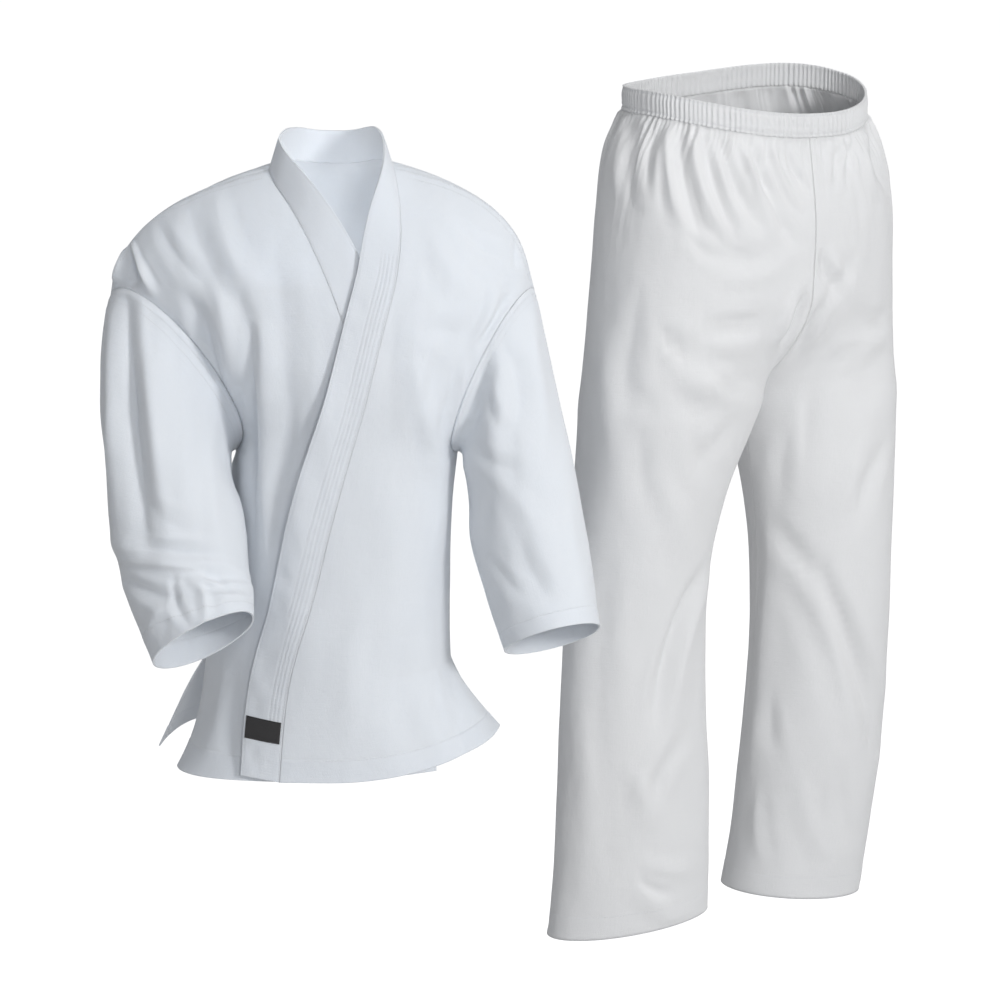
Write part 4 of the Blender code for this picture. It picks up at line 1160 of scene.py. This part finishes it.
def make_waistband(material):
    angle = spread(2 * math.pi, 0, 1189)[None, :-1]
    rise = spread(0, 1, 13)[:, None]
    z = BAND_BOTTOM + BAND_HEIGHT * rise
    ring = hip_ring(angle, z)
    out = unit((ring - ring.mean(axis=1, keepdims=True)) * [1, 1, 0])
    phase = angle * BAND_FOLDS + 1.3 * np.sin(angle * 7) + 0.9 * np.sin(angle * 17 + 1)
    deep = 1.0 + 0.35 * np.sin(angle * 11 + 2) + 0.2 * np.sin(angle * 29)
    wave = deep * np.cos(phase) * (0.55 + 0.45 * np.cos(2 * math.pi * (rise - 0.1)) ** 2)
    lines = sum(0.7 * np.exp(-(((rise - at) * BAND_HEIGHT / 1.3) ** 2)) for at in (0.16, 0.9))
    roll = 0.8 * np.sin(math.pi * np.clip(rise, 0, 1))
    height = wave * (1 - 0.6 * np.clip(lines, 0, 1)) - lines + roll
    wall = WAISTBAND / 2 - 0.5 * np.clip(lines, 0, 1)
    outer, inner = ring + out * (height + wall)[..., None], ring + out * (height * 0.9 - wall)[..., None]
    return cloth_object("waistband_casing", outer, inner, material, closed=True)


# Stitches


def stitch_line(surface, path, pitch=3.3, length=2.5, radius=0.34):
    """The ends of each stitch along a path on a surface: path gives the surface's two numbers at t = 0 to 1."""
    t = spread(0, 1, 900)
    points = surface(*path(t))
    gone = np.concatenate([[0], np.cumsum(np.linalg.norm(np.diff(points, axis=0), axis=-1))])
    starts = np.arange(pitch / 2, gone[-1] - length, pitch)

    def at(distance):
        return np.stack([np.interp(distance, gone, points[:, i]) for i in range(3)], -1)

    return np.concatenate([at(starts), at(starts + length)], axis=1), radius


def thread_object(name, lines, material):
    """All stitches of some lines as one mesh: each a small spindle of eight faces."""
    points, faces = [], []
    for ends, radius in lines:
        a, b = ends[:, :3], ends[:, 3:]
        way = unit(b - a)
        side = unit(np.cross(way, np.array([0.3, 0.2, 1.0])))
        top = np.cross(side, way)
        middle = (a + b) / 2
        ring = [middle + radius * (side * c + top * s) for c, s in ((1, 0), (0, 1), (-1, 0), (0, -1))]
        block = np.stack([a, b, *ring], axis=1)
        base = len(points) * 0 + sum(len(p) for p in points)
        points.append(block.reshape(-1, 3))
        first = base + 6 * np.arange(len(block))[:, None]
        for k in range(4):
            n = 2 + (k + 1) % 4
            faces.append(first + np.array([[0, n, 2 + k]]))
            faces.append(first + np.array([[1, 2 + k, n]]))
    mesh = bpy.data.meshes.new(name)
    mesh.from_pydata((np.concatenate(points) * MM).tolist(), [], np.concatenate(faces).tolist())
    mesh.polygons.foreach_set("use_smooth", np.ones(len(mesh.polygons), bool))
    mesh.materials.append(material)
    piece = bpy.data.objects.new(name, mesh)
    bpy.context.scene.collection.objects.link(piece)
    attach(piece, "root")
    return piece


def jacket_stitches():
    lines = []
    for side, seam, lift in ((1, OUTER_SEAM, 1.0), (-1, INNER_SEAM, 0.0)):
        edge = lapel_seam(seam, np.array([0.038]))[0]

        def hem(t, edge=edge, side=side):
            return edge + side * 0.01 + (side * 0.985 - edge) * t, 0.0385 + 0 * t

        def front(across, level, lift=lift):
            return body(across, level, lift * outer_lift(across, level) + CLOTH / 2 + 0.2)

        lines.append(stitch_line(front, hem))
        for off in (0.006, 0.016):
            right, left = neck_points()
            start = left + 0.02 if side > 0 else right - 0.02

            def shoulder(t, off=off, start=start, side=side):
                return start + (side * 0.985 - start) * t, 1 - off + 0 * t

            lines.append(stitch_line(front, shoulder))
    lines.append(stitch_line(lambda a, l: body(a, l, CLOTH / 2 + 0.2), lambda t: (-0.985 + 1.97 * t, 2 - 0.0385 + 0 * t)))
    for side in (-1, 1):

        def arm(angle, place, side=side):
            return sleeve(side, angle, place, CLOTH / 2 + 0.15)

        for place in (0.018, 0.036):
            lines.append(stitch_line(arm, lambda t, place=place: (2 * math.pi * t, place + 0 * t)))
        lines.append(stitch_line(arm, lambda t: (2 * math.pi * t, 0.9355 + 0 * t)))
    return lines


def lapel_stitches():
    points, outer_rows, _ = lapel_grid(215, 45)
    out = -grid_normals(points)
    face = points + out * (BAND / 2 + 0.02 + lapel_relief(points, outer_rows))[..., None]
    z = points[..., 22, 2] if points.ndim == 4 else points[:, 22, 2]
    lines = []

    def surface(row, column):
        return between(face, row, column)

    start = np.interp(ROWS_END, z[:outer_rows], np.arange(outer_rows))
    short = np.interp(ROWS_TO, z[:outer_rows], np.arange(outer_rows))
    end = np.interp(ROWS_FROM, z[:outer_rows], np.arange(outer_rows))
    for place in STITCH_ROWS:
        low = short if place == STITCH_ROWS[-1] else start
        lines.append(stitch_line(surface, lambda t, low=low, place=place: (low + (end - low) * t, 44 * place + 0 * t)))
    last = len(points) - 1.02
    for place in (0.035, 0.955):
        lines.append(stitch_line(surface, lambda t, place=place: (0.02 + last * t, 44 * place + 0 * t)))
    return lines


def trouser_stitches():
    lines = []
    for side in (-1, 1):

        def cloth(turn, z, side=side):
            return leg(side, turn, z, CLOTH / 2 + 0.25)

        low = LEG[side]["z"][0]
        lines.append(stitch_line(cloth, lambda t, low=low: (0.005 + 0.99 * t, low + 27.0 + 0 * t)))
    for at in (0.16, 0.9):

        def band(angle, rise):
            ring = hip_ring(angle, BAND_BOTTOM + BAND_HEIGHT * rise)
            out = unit((ring - np.array([482.0, 200.0, 0.0])) * [1, 1, 0])
            return ring + out * (WAISTBAND / 2 - 0.1)

        lines.append(stitch_line(band, lambda t, at=at: (2 * math.pi * t, at + 0 * t)))
    return lines


# Materials


def node(tree, kind, **values):
    made = tree.nodes.new(kind)
    for name, value in values.items():
        if name in made.inputs:
            made.inputs[name].default_value = value
        else:
            setattr(made, name, value)
    return made


def maths(tree, operation, first, second):
    made = node(tree, "ShaderNodeMath", operation=operation)
    for socket, value in zip(made.inputs, (first, second)):
        if isinstance(value, (int, float)):
            socket.default_value = value
        else:
            tree.links.new(value, socket)
    return made.outputs[0]


def cotton(name, colour, shade, weave_pitch=0.0011, weave_depth=0.00010):
    """Plain-woven cotton: threads both ways, slubs along each, soft unevenness and a light nap."""
    material = bpy.data.materials.new(name)
    material.use_nodes = True
    tree = material.node_tree
    shader = tree.nodes["Principled BSDF"]
    shader.inputs["Roughness"].default_value = 0.86
    shader.inputs["Specular IOR Level"].default_value = 0.22
    shader.inputs["Sheen Weight"].default_value = 0.22
    shader.inputs["Sheen Roughness"].default_value = 0.55
    shader.inputs["Subsurface Weight"].default_value = 0.6
    shader.inputs["Subsurface Radius"].default_value = (1.0, 1.0, 1.0)
    shader.inputs["Subsurface Scale"].default_value = 0.0016
    uv = node(tree, "ShaderNodeUVMap", uv_map="weave")
    split = node(tree, "ShaderNodeSeparateXYZ")
    tree.links.new(uv.outputs[0], split.inputs[0])
    k = 2 * math.pi / weave_pitch
    across = maths(tree, "SINE", maths(tree, "MULTIPLY", split.outputs[0], k), 0)
    along_it = maths(tree, "SINE", maths(tree, "MULTIPLY", split.outputs[1], k), 0)
    weave = maths(tree, "MULTIPLY", across, along_it)
    slubs = []
    for scale in ((900, 45, 1), (45, 900, 1)):
        mapped = node(tree, "ShaderNodeMapping")
        mapped.inputs["Scale"].default_value = scale
        tree.links.new(uv.outputs[0], mapped.inputs[0])
        noise = node(tree, "ShaderNodeTexNoise", Scale=1.0, Detail=3.0, Roughness=0.6)
        tree.links.new(mapped.outputs[0], noise.inputs["Vector"])
        slubs.append(noise.outputs[0])
    threads = maths(tree, "ADD", slubs[0], slubs[1])
    place = node(tree, "ShaderNodeTexCoord")
    soft = node(tree, "ShaderNodeTexNoise", Scale=34.0, Detail=4.0, Roughness=0.55)
    tree.links.new(place.outputs["Object"], soft.inputs["Vector"])
    broad = node(tree, "ShaderNodeTexNoise", Scale=9.0, Detail=2.0, Roughness=0.5)
    tree.links.new(place.outputs["Object"], broad.inputs["Vector"])
    height = maths(tree, "ADD", maths(tree, "MULTIPLY", weave, 0.5), maths(tree, "MULTIPLY", threads, 1.6))
    bump = node(tree, "ShaderNodeBump", Strength=0.55, Distance=weave_depth * 2.2)
    tree.links.new(height, bump.inputs["Height"])
    rumple = node(tree, "ShaderNodeBump", Strength=0.5, Distance=0.0022)
    tree.links.new(soft.outputs[0], rumple.inputs["Height"])
    tree.links.new(bump.outputs[0], rumple.inputs["Normal"])
    tree.links.new(rumple.outputs[0], shader.inputs["Normal"])
    mix = maths(tree, "ADD", maths(tree, "MULTIPLY", threads, 0.22), maths(tree, "MULTIPLY", broad.outputs[0], 0.5))
    mix = maths(tree, "ADD", mix, maths(tree, "MULTIPLY", weave, 0.06))
    ramp = node(tree, "ShaderNodeMix", data_type="RGBA")
    tree.links.new(mix, ramp.inputs["Factor"])
    ramp.inputs[6].default_value = (*shade, 1)
    ramp.inputs[7].default_value = (*colour, 1)
    tree.links.new(ramp.outputs[2], shader.inputs["Base Color"])
    return material


def plain(name, colour, roughness, sheen=0.1):
    material = bpy.data.materials.new(name)
    material.use_nodes = True
    tree = material.node_tree
    shader = tree.nodes["Principled BSDF"]
    shader.inputs["Roughness"].default_value = roughness
    shader.inputs["Sheen Weight"].default_value = sheen
    place = node(tree, "ShaderNodeTexCoord")
    noise = node(tree, "ShaderNodeTexNoise", Scale=700.0, Detail=3.0)
    tree.links.new(place.outputs["Object"], noise.inputs["Vector"])
    bump = node(tree, "ShaderNodeBump", Strength=0.4, Distance=0.0002)
    tree.links.new(noise.outputs[0], bump.inputs["Height"])
    tree.links.new(bump.outputs[0], shader.inputs["Normal"])
    mix = node(tree, "ShaderNodeMix", data_type="RGBA")
    tree.links.new(noise.outputs[0], mix.inputs["Factor"])
    mix.inputs[6].default_value = (*(c * 0.9 for c in colour), 1)
    mix.inputs[7].default_value = (*colour, 1)
    tree.links.new(mix.outputs[2], shader.inputs["Base Color"])
    return material


def woven_label(name):
    """Black satin-woven tape: close fine ribs, and no mark on it."""
    material = plain(name, (0.012, 0.011, 0.012), 0.62, 0.05)
    tree = material.node_tree
    uv = node(tree, "ShaderNodeUVMap", uv_map="weave")
    split = node(tree, "ShaderNodeSeparateXYZ")
    tree.links.new(uv.outputs[0], split.inputs[0])
    ribs = maths(tree, "SINE", maths(tree, "MULTIPLY", split.outputs[1], 2 * math.pi / 0.0008), 0)
    bump = node(tree, "ShaderNodeBump", Strength=0.5, Distance=0.00015)
    tree.links.new(ribs, bump.inputs["Height"])
    old = tree.nodes["Principled BSDF"].inputs["Normal"].links[0].from_socket
    tree.links.new(old, bump.inputs["Normal"])
    tree.links.new(bump.outputs[0], tree.nodes["Principled BSDF"].inputs["Normal"])
    return material


# The studio


def studio():
    tilt = math.radians(10.0)
    target = Vector((0.1896534, 0, -0.38057299))
    ahead = Vector((0, math.cos(tilt), -math.sin(tilt)))
    lens = bpy.data.cameras.new("camera")
    lens.sensor_width = 36
    lens.lens = 36 * 3.6 / 1.15
    camera = bpy.data.objects.new("camera", lens)
    camera.location = target - 3.6 * ahead
    camera.rotation_euler = ahead.to_track_quat("-Z", "Y").to_euler()
    bpy.context.scene.collection.objects.link(camera)
    bpy.context.scene.camera = camera

    mesh = bpy.data.meshes.new("floor")
    s = 400
    mesh.from_pydata([(-s, -s, 0), (s, -s, 0), (s, s, 0), (-s, s, 0)], [], [(0, 1, 2, 3)])
    floor = bpy.data.objects.new("floor", mesh)
    floor.location = (0, 0, -1.25)
    floor.visible_diffuse = False
    bpy.context.scene.collection.objects.link(floor)
    paper = bpy.data.materials.new("floor")
    paper.use_nodes = True
    shader = paper.node_tree.nodes["Principled BSDF"]
    shader.inputs["Base Color"].default_value = (0.9, 0.9, 0.9, 1)
    shader.inputs["Roughness"].default_value = 0.95
    shader.inputs["Specular IOR Level"].default_value = 0.0
    shader.inputs["Emission Color"].default_value = (1, 1, 1, 1)
    shader.inputs["Emission Strength"].default_value = 0.72
    mesh.materials.append(paper)

    world = bpy.data.worlds.new("studio")
    world.use_nodes = True
    world.node_tree.nodes["Background"].inputs[0].default_value = (0.97, 0.98, 1, 1)
    world.node_tree.nodes["Background"].inputs[1].default_value = 0.36
    bpy.context.scene.world = world
    middle = (0.19, 0, -0.4)
    for name, place, aim, size, power in (
        ("key", (2.5, -2.7, 0.8), middle, 0.8, 64),
        ("front", (0.9, -3.8, 0.25), middle, 0.8, 30),
        ("top", (0.5, -0.4, 2.6), middle, 1.6, 10),
        ("neck", (-0.05, -0.07, -0.17), (-0.045, 0.1, -0.05), 0.06, 0.2),
    ):
        light = bpy.data.lights.new(name, "AREA")
        light.shape = "DISK"
        light.size = size
        light.energy = power
        lamp = bpy.data.objects.new(name, light)
        lamp.location = place
        lamp.rotation_euler = (Vector(aim) - lamp.location).to_track_quat("-Z", "Y").to_euler()
        bpy.context.scene.collection.objects.link(lamp)
    bpy.context.scene.view_settings.view_transform = "Standard"


def wear(piece, node_name):
    """Hides the node's solid part from model.glb; the piece is not used."""
    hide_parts(node_name)


def main():
    studio()
    white = cotton("jacket_cotton", (0.80, 0.83, 0.87), (0.74, 0.775, 0.82))
    warm = cotton("trouser_cotton", (0.80, 0.805, 0.81), (0.745, 0.75, 0.76))
    thread = plain("thread", (0.78, 0.80, 0.83), 0.6)
    front = make_front("front_outer", OUTER_SEAM, 1, 1.0, white)
    under = make_front("front_inner", INNER_SEAM, -1, 0.0, white)
    label = make_label(woven_label("label_weave"))
    wear(make_back(white), "jacket_back")
    wear(front, "jacket_front_outer")
    wear(under, "jacket_front_inner")
    wear(make_lapel(white), "jacket_lapel")
    wear(label, "jacket_label")
    wear(make_sleeve("sleeve_right", -1, white), "jacket_sleeve_right")
    wear(make_sleeve("sleeve_left", 1, white), "jacket_sleeve_left")
    wear(make_leg("leg_right", -1, warm), "trousers_leg_right")
    wear(make_leg("leg_left", 1, warm), "trousers_leg_left")
    wear(make_waistband(warm), "trousers_waistband")
    for name, lines, slot in (
        ("jacket_stitches", jacket_stitches() + lapel_stitches(), "jacket_cloth"),
        ("trouser_stitches", trouser_stitches(), "trouser_cloth"),
    ):
        thread_object(name, lines, thread)


main()
